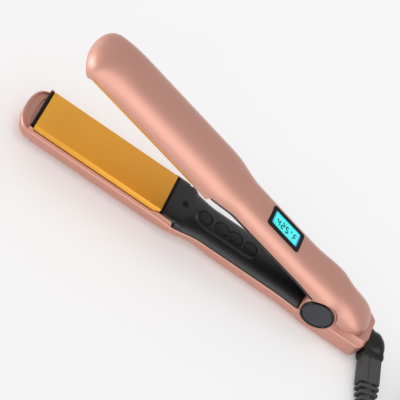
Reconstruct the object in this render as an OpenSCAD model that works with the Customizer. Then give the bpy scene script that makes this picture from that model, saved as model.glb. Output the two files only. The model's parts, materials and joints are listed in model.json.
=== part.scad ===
/* [Plates] */
// Length of a hot plate
plate_l = 96; // [80:1:110]
// Width of a plate's flat face
plate_w = 32; // [26:0.5:38]
// Thickness of a plate without its ribs
plate_t = 4; // [3:0.1:5]
// Width of the slope along a plate's long edges
plate_edge_w = 1.2; // [0.6:0.1:2]
// Height of the slope along a plate's long edges
plate_edge_h = 3.2; // [1.5:0.1:3.6]
// Gap between the two plates when the arms are shut
plate_gap = 0.3; // [0.2:0.05:1]
// Distance that a plate gives way when it is pressed
plate_float = 0.6; // [0.3:0.1:1]
// Clearance round a plate
plate_play = 0.3; // [0.2:0.05:0.6]
// Depth of the ribs under a plate
rib_h = 4; // [3:0.1:5]
// Distance from the edge of a plate's flat face to the ribs under it
rib_y = 5.5; // [5:0.1:6.5]
// Thickness of the ribs under a plate
rib_t = 1.5; // [1:0.1:2]

/* [Heaters] */
// Length of a heater strip
heater_l = 64; // [40:1:70]
// Width of a heater strip
heater_w = 14; // [8:0.5:15]
// Thickness of a heater strip
heater_t = 2.2; // [1.5:0.1:2.6]
// Thickness of the clip that holds a heater to its plate
clip_t = 0.6; // [0.4:0.1:1]
// Length of the temperature sensor
sensor_l = 8; // [5:0.5:10]
// Radius of the thermal fuse
fuse_r = 1.9; // [1.2:0.1:2]
// Length of the thermal fuse
fuse_l = 9; // [6:0.5:10]
// Thickness of the end bars of a plate's holder
bar_t = 1.6; // [1:0.1:2.5]
// Drop from a plate's face to the top of the end bars
bar_drop = 0.65; // [0.3:0.05:1]
// Wall of a plate's holder
holder_t = 1.5; // [1:0.1:2]
// Depth from a plate's underside to the floor of its holder
holder_d = 6.35; // [6:0.05:6.6]
// Length of the soft pads under a plate
pad_l = 8; // [5:0.5:12]
// Width of the soft pads under a plate
pad_w = 2; // [1.5:0.1:2.4]

/* [Arms] */
// Distance from the hinge to the plates
hinge_to_plate = 122.5; // [112:0.5:140]
// Length of the nose past the plates
nose_l = 11.7; // [9:0.1:16]
// Width of the rim beside a plate
rim_w = 1.5; // [1.2:0.1:2.5]
// Drop from the parting plane to the rim beside a plate
rim_drop = 4; // [3:0.1:4.1]
// Drop of the ears of the casing beside the covers' pads
ear_drop = 1.9; // [1.5:0.1:2.8]
// Drop from the rim beside a plate to the rim round the nose
nose_dip = 1.4; // [0.8:0.1:2.4]
// Width of an arm at the handle
handle_w = 30; // [28:0.5:34]
// Width of an arm at the hinge
rear_w = 33; // [32.6:0.2:36]
// Depth of an arm at the plates
head_d = 19.6; // [19:0.2:23]
// Depth of the lower arm at the waist
waist_d = 17; // [16.6:0.2:19]
// Depth of the upper arm at the handle
grip_d = 18; // [17.5:0.1:19]
// Depth of the upper arm at the hinge
hinge_d = 20.2; // [19.4:0.1:21]
// Drop from the parting plane to the seam along the handle
seam_drop = 6.5; // [6:0.1:7]
// Thickness of the shells
wall = 1.6; // [1.4:0.1:2]
// Angle between the open arms
open_angle = 16.7; // [12:0.1:18]
// Length of the lower arm behind the hinge
rear_l = 39; // [38:0.5:46]
// Length of the upper arm behind the hinge
tail_l = 32.8; // [30:0.2:35]
// Width of the upper arm behind the hinge
tail_w = 29; // [24:0.5:30]
// Radius of the lower arm's rear corners
rear_r = 6; // [3:0.5:8]
// Slice taken off the lower arm's underside so that it lies flat
flat_cut = 0.25; // [0.15:0.05:0.4]

/* [Inner covers] */
// Length of a cover's wide pad beside the plate
cover_pad_l = 10; // [8:0.5:12]
// Drop from the parting plane to a cover's crown
cover_drop = 0.8; // [0.6:0.1:1.2]
// Thickness of the covers
cover_t = 1.8; // [1.5:0.1:2.2]
// Clearance between a cover and the shell round it
cover_gap = 0.2; // [0.15:0.05:0.4]
// Radius of a cover screw's shank
screw_r = 1.4; // [1.2:0.05:1.6]
// Radius of a cover screw's head
screw_head_r = 2.1; // [1.9:0.05:2.4]
// Height of a cover screw's head
screw_head_h = 1.3; // [1:0.1:1.6]
// Length of a cover screw's shank
screw_l = 9; // [7:0.5:10]

/* [Buttons] */
// Distance from the plate to the power button
power_from_plate = 28.5; // [27:0.5:32]
// Radius of the power button
power_r = 5; // [4:0.1:5.5]
// Distance from the power button to the middle of the rocker
rocker_from_power = 18.3; // [17.8:0.1:19]
// Distance between the rocker's two lobes
rocker_pitch = 11; // [9:0.5:12]
// Radius of the rocker's lobes
rocker_r = 5; // [4:0.1:5.4]
// Width of the rocker's waist
rocker_waist = 4.4; // [4:0.1:7]
// Distance from the middle of the rocker to the mode button
mode_from_rocker = 17.2; // [16.6:0.1:18]
// Radius of the mode button
mode_r = 4.6; // [4:0.1:5]
// Clearance round the buttons
button_gap = 0.3; // [0.2:0.05:0.5]
// Travel of the buttons
button_travel = 0.5; // [0.3:0.1:0.8]
// Half width of the raised outline round the buttons
outline_r = 7.5; // [6.6:0.1:8]
// Width of the raised outline
outline_w = 0.8; // [0.5:0.1:1.2]
// Height of the raised outline above the cover's crown
outline_h = 0.35; // [0.2:0.05:0.5]
// Thickness of the control board
board_t = 1.6; // [1:0.1:2]
// Width of the control board
board_w = 18; // [12:0.5:20]
// Height of a switch under a button
switch_h = 3.5; // [2.5:0.1:4]

/* [Display] */
// Distance from the hinge to the middle of the display
display_u = 59.4; // [50:0.2:66]
// Length of the display's frame
frame_l = 28.2; // [24:0.2:32]
// Width of the display's frame
frame_w = 14.8; // [12:0.2:16]
// Width of the display frame's edge
frame_edge = 1.9; // [1.2:0.1:2.4]
// Height that the display's frame stands out of the shell
frame_proud = 0.2; // [0.1:0.05:0.5]
// Thickness of the window
lens_t = 1; // [0.6:0.1:1.4]
// Thickness of the display panel
panel_t = 1.8; // [1.2:0.1:2.4]
// Clearance between the pieces of the display
display_gap = 0.15; // [0.1:0.05:0.3]

/* [Hinge] */
// Radius of the hinge pin
pin_r = 2.5; // [2:0.1:3]
// Running clearance of the hinge pin
pin_gap = 0.05; // [0.02:0.01:0.09]
// Wall of the bush on the hinge pin
bush_t = 1.2; // [0.8:0.1:1.6]
// Radius of the hinge ears
ear_r = 12.6; // [12.2:0.1:13.2]
// Half distance between the hinge ears
ear_in = 10.3; // [9.8:0.1:10.6]
// Half distance over the hinge ears
ear_out = 15; // [14.6:0.1:15.2]
// Radius of the barrel on the upper arm
barrel_r = 8.5; // [7.5:0.1:9]
// Clearance between the arms at the hinge
hinge_gap = 0.4; // [0.3:0.05:0.6]
// Radius of a hinge cap with its ring
cap_r = 11.6; // [10.5:0.1:11.9]
// Thickness of a hinge cap
cap_t = 1.6; // [1.2:0.1:2]
// Width of the ring round a hinge cap
ring_w = 1.1; // [0.8:0.1:1.6]
// Radius of the opening spring's wire
wire_r = 0.6; // [0.4:0.05:0.7]
// Turns of the opening spring
spring_turns = 3; // [2:1:3]

/* [Swivel] */
// Depth of the swivel's axis below the parting plane
swivel_drop = 10.2; // [10:0.1:10.4]
// Radius of the swivel's neck
neck_r = 6; // [5:0.1:6.4]
// Running clearance of the swivel's neck
neck_gap = 0.06; // [0.03:0.01:0.09]
// Wall of the bush round the swivel's neck
neck_bush_t = 1.6; // [1.2:0.1:1.8]
// Radius of the swivel's collar
collar_r = 8.6; // [8.2:0.1:8.8]
// Length of the collar's round part
collar_l = 7.2; // [5:0.1:9]
// Distance from the arm's rear end to the middle of the collar's mouth
mouth_x = 8.7; // [8.7:0.1:12]
// Distance from the swivel's axis to the middle of the collar's mouth
mouth_y = 10; // [9:0.1:12]
// Angle through which the collar turns the cord
elbow_angle = 74; // [60:1:74]
// Roll of the collar below the horizontal at rest
collar_roll = 5.2; // [3:0.2:5.2]
// Width of the cord's grip at the collar
grip_w = 14.4; // [12:0.2:15]
// Height of the cord's grip at the collar
grip_h = 10; // [8:0.2:11]
// Length of the cord's grip
grip_l = 21.5; // [14:0.5:24]
// Count of ribs on the strain relief
ribs = 6; // [4:1:7]
// Pitch of the ribs
rib_pitch = 4.4; // [4:0.1:5]

/* [Cord] */
// Diameter of the cord
cord_d = 6.5; // [5:0.1:6.5]
// Turns of the coil in each layer
coil_turns = 3; // [2:1:3]
// Layers of the coil
coil_layers = 4; // [2:2:4]
// Radius of the coil's innermost turn
coil_r = 26; // [26:0.5:30]
// Step between turns and between layers of the coil
coil_step = 7; // [6.95:0.05:7.5]
// Thickness of the tie round the coil
tie_t = 0.8; // [0.5:0.1:1]
// Width of the tie
tie_w = 9; // [5:0.5:14]
// Width of the plug
plug_w = 25; // [20:0.5:28]
// Height of the plug as it lies
plug_h = 17; // [15:0.5:20]
// Length of the plug
plug_l = 34; // [28:0.5:40]

/* [Hidden] */
$fn = 64;

rose = [0.86, 0.62, 0.55];
black = [0.13, 0.13, 0.14];
gold = [0.85, 0.58, 0.2];
steel = [0.75, 0.75, 0.77];
slate = [0.26, 0.27, 0.3];
grey = [0.28, 0.28, 0.28];

// Places along an arm, measured from the hinge towards the tip
plate_rear = hinge_to_plate;
plate_tip = plate_rear + plate_l;
tip_u = plate_tip + nose_l;
bar_rear = plate_rear - plate_play - bar_t;
bar_tip = plate_tip + plate_play + bar_t;
cover_u = bar_rear - cover_gap;
lip_u = cover_u - cover_pad_l;
screw_u = lip_u - 0.4;
power_u = plate_rear - power_from_plate;
rocker_u = power_u - rocker_from_power;
mode_u = rocker_u - mode_from_rocker;
waist_u = plate_rear - 16.5;
waist_l = 34;
cover_end = ear_r + 1;
rear_screw_u = cover_end + 7;
flare_from = 30;
flare_to = 5;

// Half widths and heights that the pieces share
plate_face = plate_gap / 2;
plate_back = plate_face + plate_t;
plate_hw = plate_w / 2 + plate_edge_w;
pocket_hw = plate_hw + plate_play;
rib_out = plate_w / 2 - rib_y;
rib_in = rib_out - rib_t;
head_w = 2 * (pocket_hw + rim_w);
holder_hw = plate_w / 2 - 0.8;
holder_top = plate_back + plate_float + 0.55;
holder_floor = plate_back + holder_d;
holder_under = holder_floor + holder_t;
deck_drop = 0.6;
deck_w = 24;
crease_drop = 3.4;
tail_gap = 0.4;
rim_crown = 0.05;
seat_gap = 0.3;
seam_gap = 0.1;
lip_l = 2.6;
ear_fall = 5.5;
nose_round = 11;
nose_wall = 0.8;
nose_sink = 20;
nose_power = 2.4;
tail_round = 16;
tail_sink = 36;
tail_power = 2.6;
section_power = 3;
rear_power = 5;
ring_steps = 16;
board_room = 2.4;
board_top = cover_drop + cover_t + button_travel + switch_h + board_room;
cap_sink = 0.25;
cap_top = cover_drop + cap_sink;
flange_gap = 0.4;
flange_top = cover_drop + cover_t + flange_gap;
flange_t = 0.8;
knob_h = 0.6;
stem_gap = 0.3;
stem_end = board_top - switch_h - knob_h - button_travel - stem_gap;
overlap = 0.4;
big = 60;
swivel_x = rear_l;
bush_r = neck_r + neck_gap + neck_bush_t;
bush_flange_r = bush_r + 0.4;
bush_l = 4;

// The origin lies under the middle of the arms, on the surface that the lower arm rests on
hinge_x = (tip_u - rear_l) / 2;
hinge_z = head_d - flat_cut;

// Smooth step from 0 to 1 as t goes from a to b
function ramp(t, a, b) = let (k = max(0, min(1, (t - a) / (b - a)))) k * k * (3 - 2 * k);
function mix(a, b, k) = a + (b - a) * k;
// Fall from 1 to 0 over the length l as the distance left to the end runs out
function taper(left, l, p) =
    left >= l ? 1 : pow(max(0, 1 - pow(1 - max(left, 0) / l, p)), 1 / p);
// Inset of a corner of radius r where t runs into the corner
function corner(t, r) = t <= 0 ? 0 : r - sqrt(max(0, r * r - t * t));
function descending(list) =
    len(list) < 2 ? list :
    let (p = list[floor(len(list) / 2)])
    concat(descending([for (v = list) if (v > p + 0.05) v]), [p],
           descending([for (v = list) if (v < p - 0.05) v]));
function unit(v) = v / norm(v);

// Plan and side shapes that both arms share
function arm_hw(u) =
    mix(mix(handle_w / 2, rear_w / 2, ramp(-u, -flare_from, -flare_to)), head_w / 2,
        ramp(u, waist_u - waist_l / 2, waist_u + waist_l / 2));
function nose_hw(u) = arm_hw(u) * taper(tip_u - u, nose_round, nose_power);
function lip_edge(u) =
    let (rim = mix(ear_drop, rim_drop, ramp(u, plate_rear, plate_rear + ear_fall)))
    mix(seam_drop, rim, ramp(u, lip_u, lip_u + lip_l))
    + nose_dip * ramp(u, bar_tip - 0.4, bar_tip + 2);

// Lower arm: half width, seam, deck, depth and roundness of its section
function lower_hw(u) = nose_hw(u) - corner(-u - rear_l + rear_r, rear_r);
function lower_edge(u) = mix(lip_edge(u), crease_drop, ramp(-u, 0.4 - cover_end, 5.8 - cover_end));
function lower_deck(u) = mix(lower_edge(u) - rim_crown, deck_drop, ramp(-u, -13, -10.5));
function lower_power(u) = mix(section_power, rear_power, ramp(-u, -14, -2));
function lower_depth(u) =
    let (waist = ramp(u, lip_u - 38, lip_u - 14) * (1 - ramp(u, lip_u - 8, lip_u + 18)))
    let (full = mix(head_d, waist_d, waist) - corner(-u - rear_l + rear_r, rear_r) / 3)
    mix(lower_edge(u), full, taper(tip_u - u, nose_sink, nose_power));

// Upper arm: half width, seam and depth of its section
function upper_hw(u) =
    mix(nose_hw(u), tail_w / 2, ramp(-u, -4, 10)) * taper(u + tail_l, tail_round, tail_power);
function tail_edge(u) = (tail_gap - deck_drop) / cos(open_angle) + max(0, -u) * tan(open_angle);
function upper_edge(u) = mix(lip_edge(u), tail_edge(u), ramp(-u, -6, 8));
function upper_depth(u) =
    let (body = mix(mix(grip_d, hinge_d, ramp(-u, -35, -8)), head_d, ramp(u, lip_u - 26, lip_u + 12)))
    let (tail = taper(u + tail_l, tail_sink, 2.4))
    mix(upper_edge(u), body, taper(tip_u - u, nose_sink, nose_power) * tail);

// Half of a rounded section, open towards the parting plane
function half_ring(u, hw, edge, depth, power) = [
    for (i = [0:ring_steps])
        let (t = 180 * i / ring_steps)
        [-u, hw * sign(cos(t)) * pow(abs(cos(t)), 2 / power),
         -edge - (depth - edge) * pow(sin(t), 2 / power)]
];

nose_stations = concat([for (t = [84:-12:0]) tip_u - nose_round * (1 - sin(t))],
                       [bar_tip + 2, bar_tip + 0.8, bar_tip - 0.4],
                       [tip_u - 13.5, tip_u - 16.5, tip_u - nose_sink]);
waist_stations = concat([for (i = [0:13]) waist_u + waist_l / 2 + 6 - 5 * i],
                        [for (i = [0:3]) lip_u + lip_l * i / 3],
                        [for (i = [0:3]) plate_rear + ear_fall * i / 3]);
rear_stations = [flare_from, 22, 16, 14.5, 13, 11.8, 10.5, flare_to];
lower_stations = descending(concat(nose_stations, waist_stations, rear_stations,
    [0, -10], [for (t = [0:15:90]) -rear_l + rear_r - rear_r * sin(t)]));
upper_stations = descending(concat(nose_stations, waist_stations, rear_stations, [6, 2],
    [for (t = [0:12:84]) -tail_l + tail_round * (1 - sin(t))], [-2, -6, -10, -13]));

// Solid through rings that have the same number of points
module loft(rings) {
    m = len(rings[0]);
    n = len(rings);
    points = [for (r = rings) for (p = r) p];
    sides = [
        for (i = [0:n - 2]) for (j = [0:m - 1])
            let (a = i * m + j, b = i * m + (j + 1) % m)
            for (f = [[a, b, a + m], [b, b + m, a + m]]) f
    ];
    caps = [[for (j = [m - 1:-1:0]) j], [for (j = [0:m - 1]) (n - 1) * m + j]];
    polyhedron(points, concat(sides, caps));
}

// Tube of radius r and the given sides along points that keep off the vertical
module tube(points, r, sides) {
    last = len(points) - 1;
    rings = [
        for (i = [0:last])
            let (t = unit(points[min(last, i + 1)] - points[max(0, i - 1)]))
            let (s = unit(cross(t, [0, 0, 1])))
            let (n = cross(s, t))
            [for (k = [0:sides - 1]) points[i] + r * (cos(360 * k / sides) * s + sin(360 * k / sides) * n)]
    ];
    loft(rings);
}

// Places a piece of the lower arm, or of the upper arm, which is drawn as its mirror image
module lower_place() { translate([hinge_x, 0, hinge_z]) children(); }
module upper_place() {
    translate([hinge_x, 0, hinge_z]) rotate([0, open_angle, 0]) mirror([0, 0, 1]) children();
}
// Block from u0 to u1 along the arm, y0 to y1 across it and down from drop0 to drop1
module block(u0, u1, y0, y1, drop0, drop1) {
    translate([-u1, y0, -drop1]) cube([u1 - u0, y1 - y0, drop1 - drop0]);
}
// Cylinder down an arm at u from drop0 to drop1, or along the hinge from y0 to y1
module post(u, r, drop0, drop1) { translate([-u, 0, -drop1]) cylinder(r = r, h = drop1 - drop0); }
module axle(r, y0, y1) { translate([0, y1, 0]) rotate([90, 0, 0]) cylinder(r = r, h = y1 - y0); }

// Recess in the nose, drawn in from the arm's edge, with a crescent ridge on its floor
nose_rim = 1.8;
nose_floor = rim_drop + nose_dip + 1.6;
ridge_h = 0.9;
ridge_t = 0.8;
ridge_u = 2.8;
ridge_y = 13;
function recess_hw(u) =
    (arm_hw(u) - nose_rim) * taper(tip_u - nose_rim - u, nose_round - nose_rim, nose_power);
function crescent(a, b) = [for (t = [0:10:180]) [-bar_tip - a * sin(t), b * cos(t)]];
module nose_recess() {
    side = [for (u = [bar_tip:0.4:tip_u - nose_rim - 0.1]) [-u, recess_hw(u)]];
    outline = concat(side, [for (i = [len(side) - 1:-1:0]) [side[i][0], -side[i][1]]]);
    translate([0, 0, -nose_floor]) linear_extrude(nose_floor) polygon(outline);
}
module nose_ridge() {
    translate([0, 0, -nose_floor - overlap]) linear_extrude(ridge_h + overlap) difference() {
        polygon(crescent(ridge_u, ridge_y));
        polygon(crescent(ridge_u - ridge_t, ridge_y - ridge_t));
    }
}

// Pieces under a plate, drawn for the lower arm
rib_rear = 6;
rib_tip = 10;
module plate_body() {
    section = [
        [-plate_w / 2, -plate_face], [plate_w / 2, -plate_face],
        [plate_hw, -plate_face - plate_edge_h], [plate_hw, -plate_back],
        [-plate_hw, -plate_back], [-plate_hw, -plate_face - plate_edge_h]
    ];
    translate([-plate_tip, 0, 0]) rotate([90, 0, 90]) linear_extrude(plate_l) polygon(section);
    for (y = [-rib_out, rib_in])
        block(plate_rear + rib_rear, plate_tip - rib_tip, y, y + rib_t,
              plate_back - overlap, plate_back + rib_h);
}
module holder_body() {
    floor_tip = plate_tip - 9;
    block(bar_rear, floor_tip, -holder_hw, holder_hw, holder_floor, holder_under);
    for (u = [bar_rear, bar_tip - bar_t])
        block(u, u + bar_t, -plate_w / 2, plate_w / 2, plate_face + bar_drop, plate_back + 1.5);
    block(bar_rear, bar_rear + bar_t, -holder_hw, holder_hw, plate_back, holder_under);
    block(bar_tip - bar_t, bar_tip, -holder_hw, holder_hw, plate_back, holder_floor - 1.5);
    for (y = [-holder_hw, holder_hw - holder_t]) {
        block(bar_rear, floor_tip, y, y + holder_t, holder_top, holder_under);
        block(bar_rear, bar_tip, y, y + holder_t, holder_top, holder_floor - 1.5);
    }
}
heater_u = (plate_rear + plate_tip) / 2;
heater_start = heater_u - heater_l / 2;
heater_end = heater_u + heater_l / 2;
clip_play = 0.1;
clip_short = 4;
clip_leg = 3;
module heater_body() {
    block(heater_start, heater_end, -heater_w / 2, heater_w / 2, plate_back, plate_back + heater_t);
}
module clip_body() {
    under = plate_back + heater_t;
    clip_hw = rib_in - clip_play;
    block(heater_start + clip_short, heater_end - clip_short, -clip_hw, clip_hw, under, under + clip_t);
    for (y = [-clip_hw, clip_hw - clip_t], du = [-heater_l / 3, 0, heater_l / 3])
        block(heater_u + du - clip_leg, heater_u + du + clip_leg, y, y + clip_t, under, plate_back + rib_h);
}
pad_end = 14;
pad_play = 0.05;
module pads_body() {
    y0 = (rib_out + holder_hw - holder_t - pad_w) / 2;
    for (u = [plate_rear + pad_end, plate_tip - pad_end - pad_l], y = [-y0 - pad_w, y0])
        block(u, u + pad_l, y, y + pad_w, plate_back + pad_play, holder_floor);
}
sensor_rear = 3;
sensor_y = 2;
sensor_w = 4;
sensor_h = 2;
module sensor_body() {
    u0 = plate_rear + sensor_rear;
    block(u0, u0 + sensor_l, sensor_y, sensor_y + sensor_w, plate_back, plate_back + sensor_h);
}
seat_l = 3;
seat_in = 4;
seat_tip = 16;
module holder_seats(depth_at) {
    for (u = [plate_rear + rib_rear, plate_tip - seat_tip])
        block(u, u + seat_l, -holder_hw + seat_in, holder_hw - seat_in, holder_under, depth_at - wall / 2);
}

// Inner cover of an arm: a flat pad beside the plate, then a crown over the handle
cover_in = 0.3;
pad_skirt = 1.6;
pad_blend = 7;
cover_pitch = 3.6;
crown_power = 2.2;
pad_power = 7;
function cover_hw(u, inset) =
    (u > lip_u - 0.2 ? min(pocket_hw, arm_hw(u) - rim_w) - cover_gap : arm_hw(u) - cover_in) - inset;
function cover_base(u) = seam_drop - (u > lip_u - 0.2 ? pad_skirt : seam_gap);
function cover_power(u) = mix(crown_power, pad_power, ramp(u, lip_u - pad_blend, lip_u + 1));
function cover_ring(u, inset, drop, base) =
    let (p = cover_power(u), hw = cover_hw(u, inset), h = cover_base(u) - drop)
    concat([[-u, -hw, -base]],
        [for (i = [ring_steps:-1:0])
            let (t = 180 * i / ring_steps)
            [-u, hw * sign(cos(t)) * pow(abs(cos(t)), 2 / p), -cover_base(u) + h * pow(sin(t), 2 / p)]],
        [[-u, hw, -base]]);
crown_stations = concat([lip_u + 3, lip_u + 1, flare_from], [for (i = [1:6]) lip_u - cover_pitch * i]);
cover_stations = descending(concat([cover_u, lip_u, lip_u - 0.4, cover_end], crown_stations));
cover_hollow_stations = descending(
    concat([cover_u - cover_t, lip_u + 0.5, lip_u - 0.9, cover_end + cover_t], crown_stations));
module cover_body() {
    difference() {
        loft([for (u = cover_stations) cover_ring(u, 0, cover_drop, cover_base(u) + 0.01)]);
        loft([for (u = cover_hollow_stations)
            cover_ring(u, cover_t, cover_drop + cover_t, cover_base(u) + 3)]);
    }
}
screw_sink = 0.25;
head_play = 0.3;
shank_play = 0.2;
function cover_sink() = cover_drop + screw_sink;
module screw_holes() {
    for (u = [screw_u, rear_screw_u]) {
        post(u, screw_r + shank_play, -1, big / 4);
        post(u, screw_head_r + head_play, -1, cover_sink() + screw_head_h);
    }
}
boss_r = 3.2;
boss_top = cover_sink() + screw_head_h + cover_t + 0.8;
module screw_bosses(depth0, depth1) {
    post(screw_u, boss_r, boss_top, depth0 - wall / 2);
    post(rear_screw_u, boss_r, boss_top, depth1 - wall / 2);
}
module cover_bosses() {
    for (u = [screw_u, rear_screw_u]) post(u, boss_r, cover_sink(), boss_top);
}
module screw_bores() {
    for (u = [screw_u, rear_screw_u])
        post(u, screw_r, 0, cover_sink() + screw_head_h + screw_l + 0.5);
}
module screws_body() {
    for (u = [screw_u, rear_screw_u]) difference() {
        union() {
            post(u, screw_head_r, cover_sink(), cover_sink() + screw_head_h);
            post(u, screw_r, cover_sink() + screw_head_h - overlap, cover_sink() + screw_head_h + screw_l);
        }
        for (a = [0, 90]) translate([-u, 0, -cover_sink() - 0.7]) rotate([0, 0, a])
            translate([-1.3, -0.25, 0]) cube([2.6, 0.5, 2]);
    }
}

// Shell of an arm and the room inside it
module lower_outside() {
    loft([for (u = lower_stations)
        let (k = min(deck_w / 2, 0.7 * lower_hw(u)))
        concat(half_ring(u, lower_hw(u), lower_edge(u), lower_depth(u), lower_power(u)),
               [[-u, -k, -lower_deck(u)], [-u, k, -lower_deck(u)]])]);
}
function room_hw(u) = u > lip_u ? min(pocket_hw, nose_hw(u) - nose_wall) : arm_hw(u) - wall;
function lower_room_top(u) = u > cover_end - 0.3 ? -5 : u > 9 ? seam_drop + 1.2 : deck_drop + 2;
lower_room_stations = descending(concat([bar_tip + plate_play], [for (u = waist_stations) u],
    [tip_u - 14, tip_u - nose_sink, flare_from, 22,
     cover_end - 0.2, cover_end - 0.5, 9.2, 8.8, flare_to, 0, -rear_l + rear_r, -rear_l + bush_l]));
module lower_room() {
    loft([for (u = lower_room_stations)
        let (front = u > cover_end - 0.3)
        let (hw = room_hw(u))
        let (edge = max(lower_edge(u), front ? 0 : lower_room_top(u) + 1.5))
        let (k = front ? hw : min(hw, deck_w / 2) - 1.5)
        concat(half_ring(u, hw, edge, lower_depth(u) - wall, lower_power(u)),
               [[-u, -k, -lower_room_top(u)], [-u, k, -lower_room_top(u)]])]);
}
module upper_outside() {
    loft([for (u = upper_stations) half_ring(u, upper_hw(u), upper_edge(u), upper_depth(u), section_power)]);
}
upper_room_stations = descending(concat([bar_tip + plate_play], waist_stations,
    [tip_u - 14, tip_u - nose_sink], rear_stations, [0, -4, -8, -14, -20, -25]));
module upper_room() {
    loft([for (u = upper_room_stations)
        let (hw = u > lip_u ? room_hw(u) : upper_hw(u) - wall)
        concat(half_ring(u, hw, upper_edge(u), upper_depth(u) - wall, section_power),
               [[-u, -hw, 5], [-u, hw, 5]])]);
}

cap_seat = 1.5;
cap_stub_r = 4;
module lower_shell() {
    color(rose) lower_place() difference() {
        union() {
            difference() {
                lower_outside();
                lower_room();
                nose_recess();
                axle(barrel_r + hinge_gap, -ear_in, ear_in);
            }
            nose_ridge();
            holder_seats(head_d);
            screw_bosses(lower_depth(screw_u), lower_depth(rear_screw_u));
            for (u = [power_u - 2, mode_u + 2])
                block(u - 1, u + 1, -board_w / 2 + 2, board_w / 2 - 2, board_top + board_t,
                      lower_depth(u) - wall / 2);
            for (y = [-ear_out, ear_in]) axle(ear_r, y, y + ear_out - ear_in);
            block(spring_foot - 3, spring_foot + 2, spring_in, ear_in, spring_seat, spring_seat + 2);
        }
        screw_bores();
        axle(pin_r, -big, big);
        for (s = [-1, 1]) {
            axle(cap_stub_r, s > 0 ? ear_out - cap_seat : -big, s > 0 ? big : -ear_out + cap_seat);
            axle(cap_r + 0.2, s > 0 ? ear_out : -big, s > 0 ? big : -ear_out);
        }
        swivel_at() along_x(bush_r, -10, 10);
        swivel_at() along_x(bush_flange_r + 0.1, -10, -bush_l);
        translate([-big * 5, -big, -head_d + flat_cut - big]) cube([big * 10, big * 2, big]);
    }
}

module button_cuts() {
    post(power_u, power_r + button_gap, -1, cover_drop + 4);
    post(mode_u, mode_r + button_gap, -1, cover_drop + 4);
    translate([0, 0, -cover_drop - 4]) linear_extrude(6) rocker_plan(button_gap);
}
module rocker_plan(grow) {
    for (s = [-1, 1]) translate([-rocker_u + s * rocker_pitch / 2, 0]) circle(r = rocker_r + grow);
    translate([-rocker_u - rocker_pitch / 2, -rocker_waist / 2 - grow])
        square([rocker_pitch, rocker_waist + 2 * grow]);
}
module slot_plan(u0, u1, r) {
    for (u = [u0, u1]) translate([-u, 0]) circle(r = r);
    translate([-u1, -r]) square([u1 - u0, 2 * r]);
}
module button_outline() {
    u0 = mode_u + 0.8;
    u1 = power_u - 0.8;
    translate([0, 0, -cover_drop - 1.4]) linear_extrude(1.4 + outline_h) difference() {
        slot_plan(u0, u1, outline_r);
        slot_plan(u0, u1, outline_r - outline_w);
    }
}
// Two lugs under the cover that carry the rocker's pivot
pivot_r = 0.8;
pivot_gap = 0.05;
pivot_drop = flange_top + flange_t;
lug_l = 3;
lug_t = 1.4;
lug_under = 0.6;
lug_gap = 0.5;
lug_in = rocker_waist / 2 + button_gap + lug_gap;
lug_out = lug_in + lug_t;
module rocker_pivot(r, y) { translate([-rocker_u, 0, -pivot_drop]) axle(r, -y, y); }
module rocker_lugs() {
    for (y = [-lug_out, lug_in])
        block(rocker_u - lug_l / 2, rocker_u + lug_l / 2, y, y + lug_t,
              cover_drop + 1, pivot_drop + pivot_r + lug_under);
}
module lower_cover() {
    color(black) lower_place() difference() {
        union() {
            cover_body();
            cover_bosses();
            button_outline();
            rocker_lugs();
        }
        button_cuts();
        screw_holes();
        rocker_pivot(pivot_r + pivot_gap, lug_out + 1);
    }
}

module lower_plate() { color(gold) lower_place() plate_body(); }
module lower_plate_holder() { color(black) lower_place() holder_body(); }
module lower_heater() { color(steel) lower_place() heater_body(); }
module lower_heater_clip() { color(steel) lower_place() clip_body(); }
module lower_float_pads() { color(grey) lower_place() pads_body(); }
module lower_sensor() { color(grey) lower_place() sensor_body(); }
fuse_gap = 1;
fuse_y = 4;
fuse_play = 0.1;
module thermal_fuse() {
    color(steel) lower_place()
        translate([fuse_gap - heater_start, -fuse_y, -plate_back - fuse_r - fuse_play])
        rotate([0, 90, 0]) cylinder(r = fuse_r, h = fuse_l);
}

// Button caps with a flange under the cover and a stem over the switch
flange_w = 0.9;
stem_r = 1.5;
module round_button(u, r) {
    post(u, r, cap_top, flange_top + flange_t);
    post(u, r + flange_w, flange_top, flange_top + flange_t);
    post(u, stem_r, flange_top, stem_end);
}
module power_button() { color(black) lower_place() round_button(power_u, power_r); }
module mode_button() { color(black) lower_place() round_button(mode_u, mode_r); }
module temperature_rocker() {
    color(black) lower_place() {
        translate([0, 0, -flange_top - flange_t])
            linear_extrude(flange_top + flange_t - cap_top) rocker_plan(0);
        for (s = [-1, 1]) post(rocker_u + s * rocker_pitch / 2, stem_r, flange_top, stem_end);
        rocker_pivot(pivot_r, lug_out - 0.1);
    }
}
board_over = 6;
module control_board() {
    color([0.1, 0.35, 0.2]) lower_place()
        block(mode_u - board_over, power_u + board_over, -board_w / 2, board_w / 2,
              board_top, board_top + board_t);
}
switch_w = 6;
knob_r = 1.7;
module button_switches() {
    color(steel) lower_place()
        for (u = [power_u, rocker_u - rocker_pitch / 2, rocker_u + rocker_pitch / 2, mode_u]) {
            block(u - switch_w / 2, u + switch_w / 2, -switch_w / 2, switch_w / 2,
                  board_top - switch_h, board_top);
            post(u, knob_r, board_top - switch_h - knob_h, board_top - switch_h + overlap);
        }
}
module lower_screws() { color(black) lower_place() screws_body(); }

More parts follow.
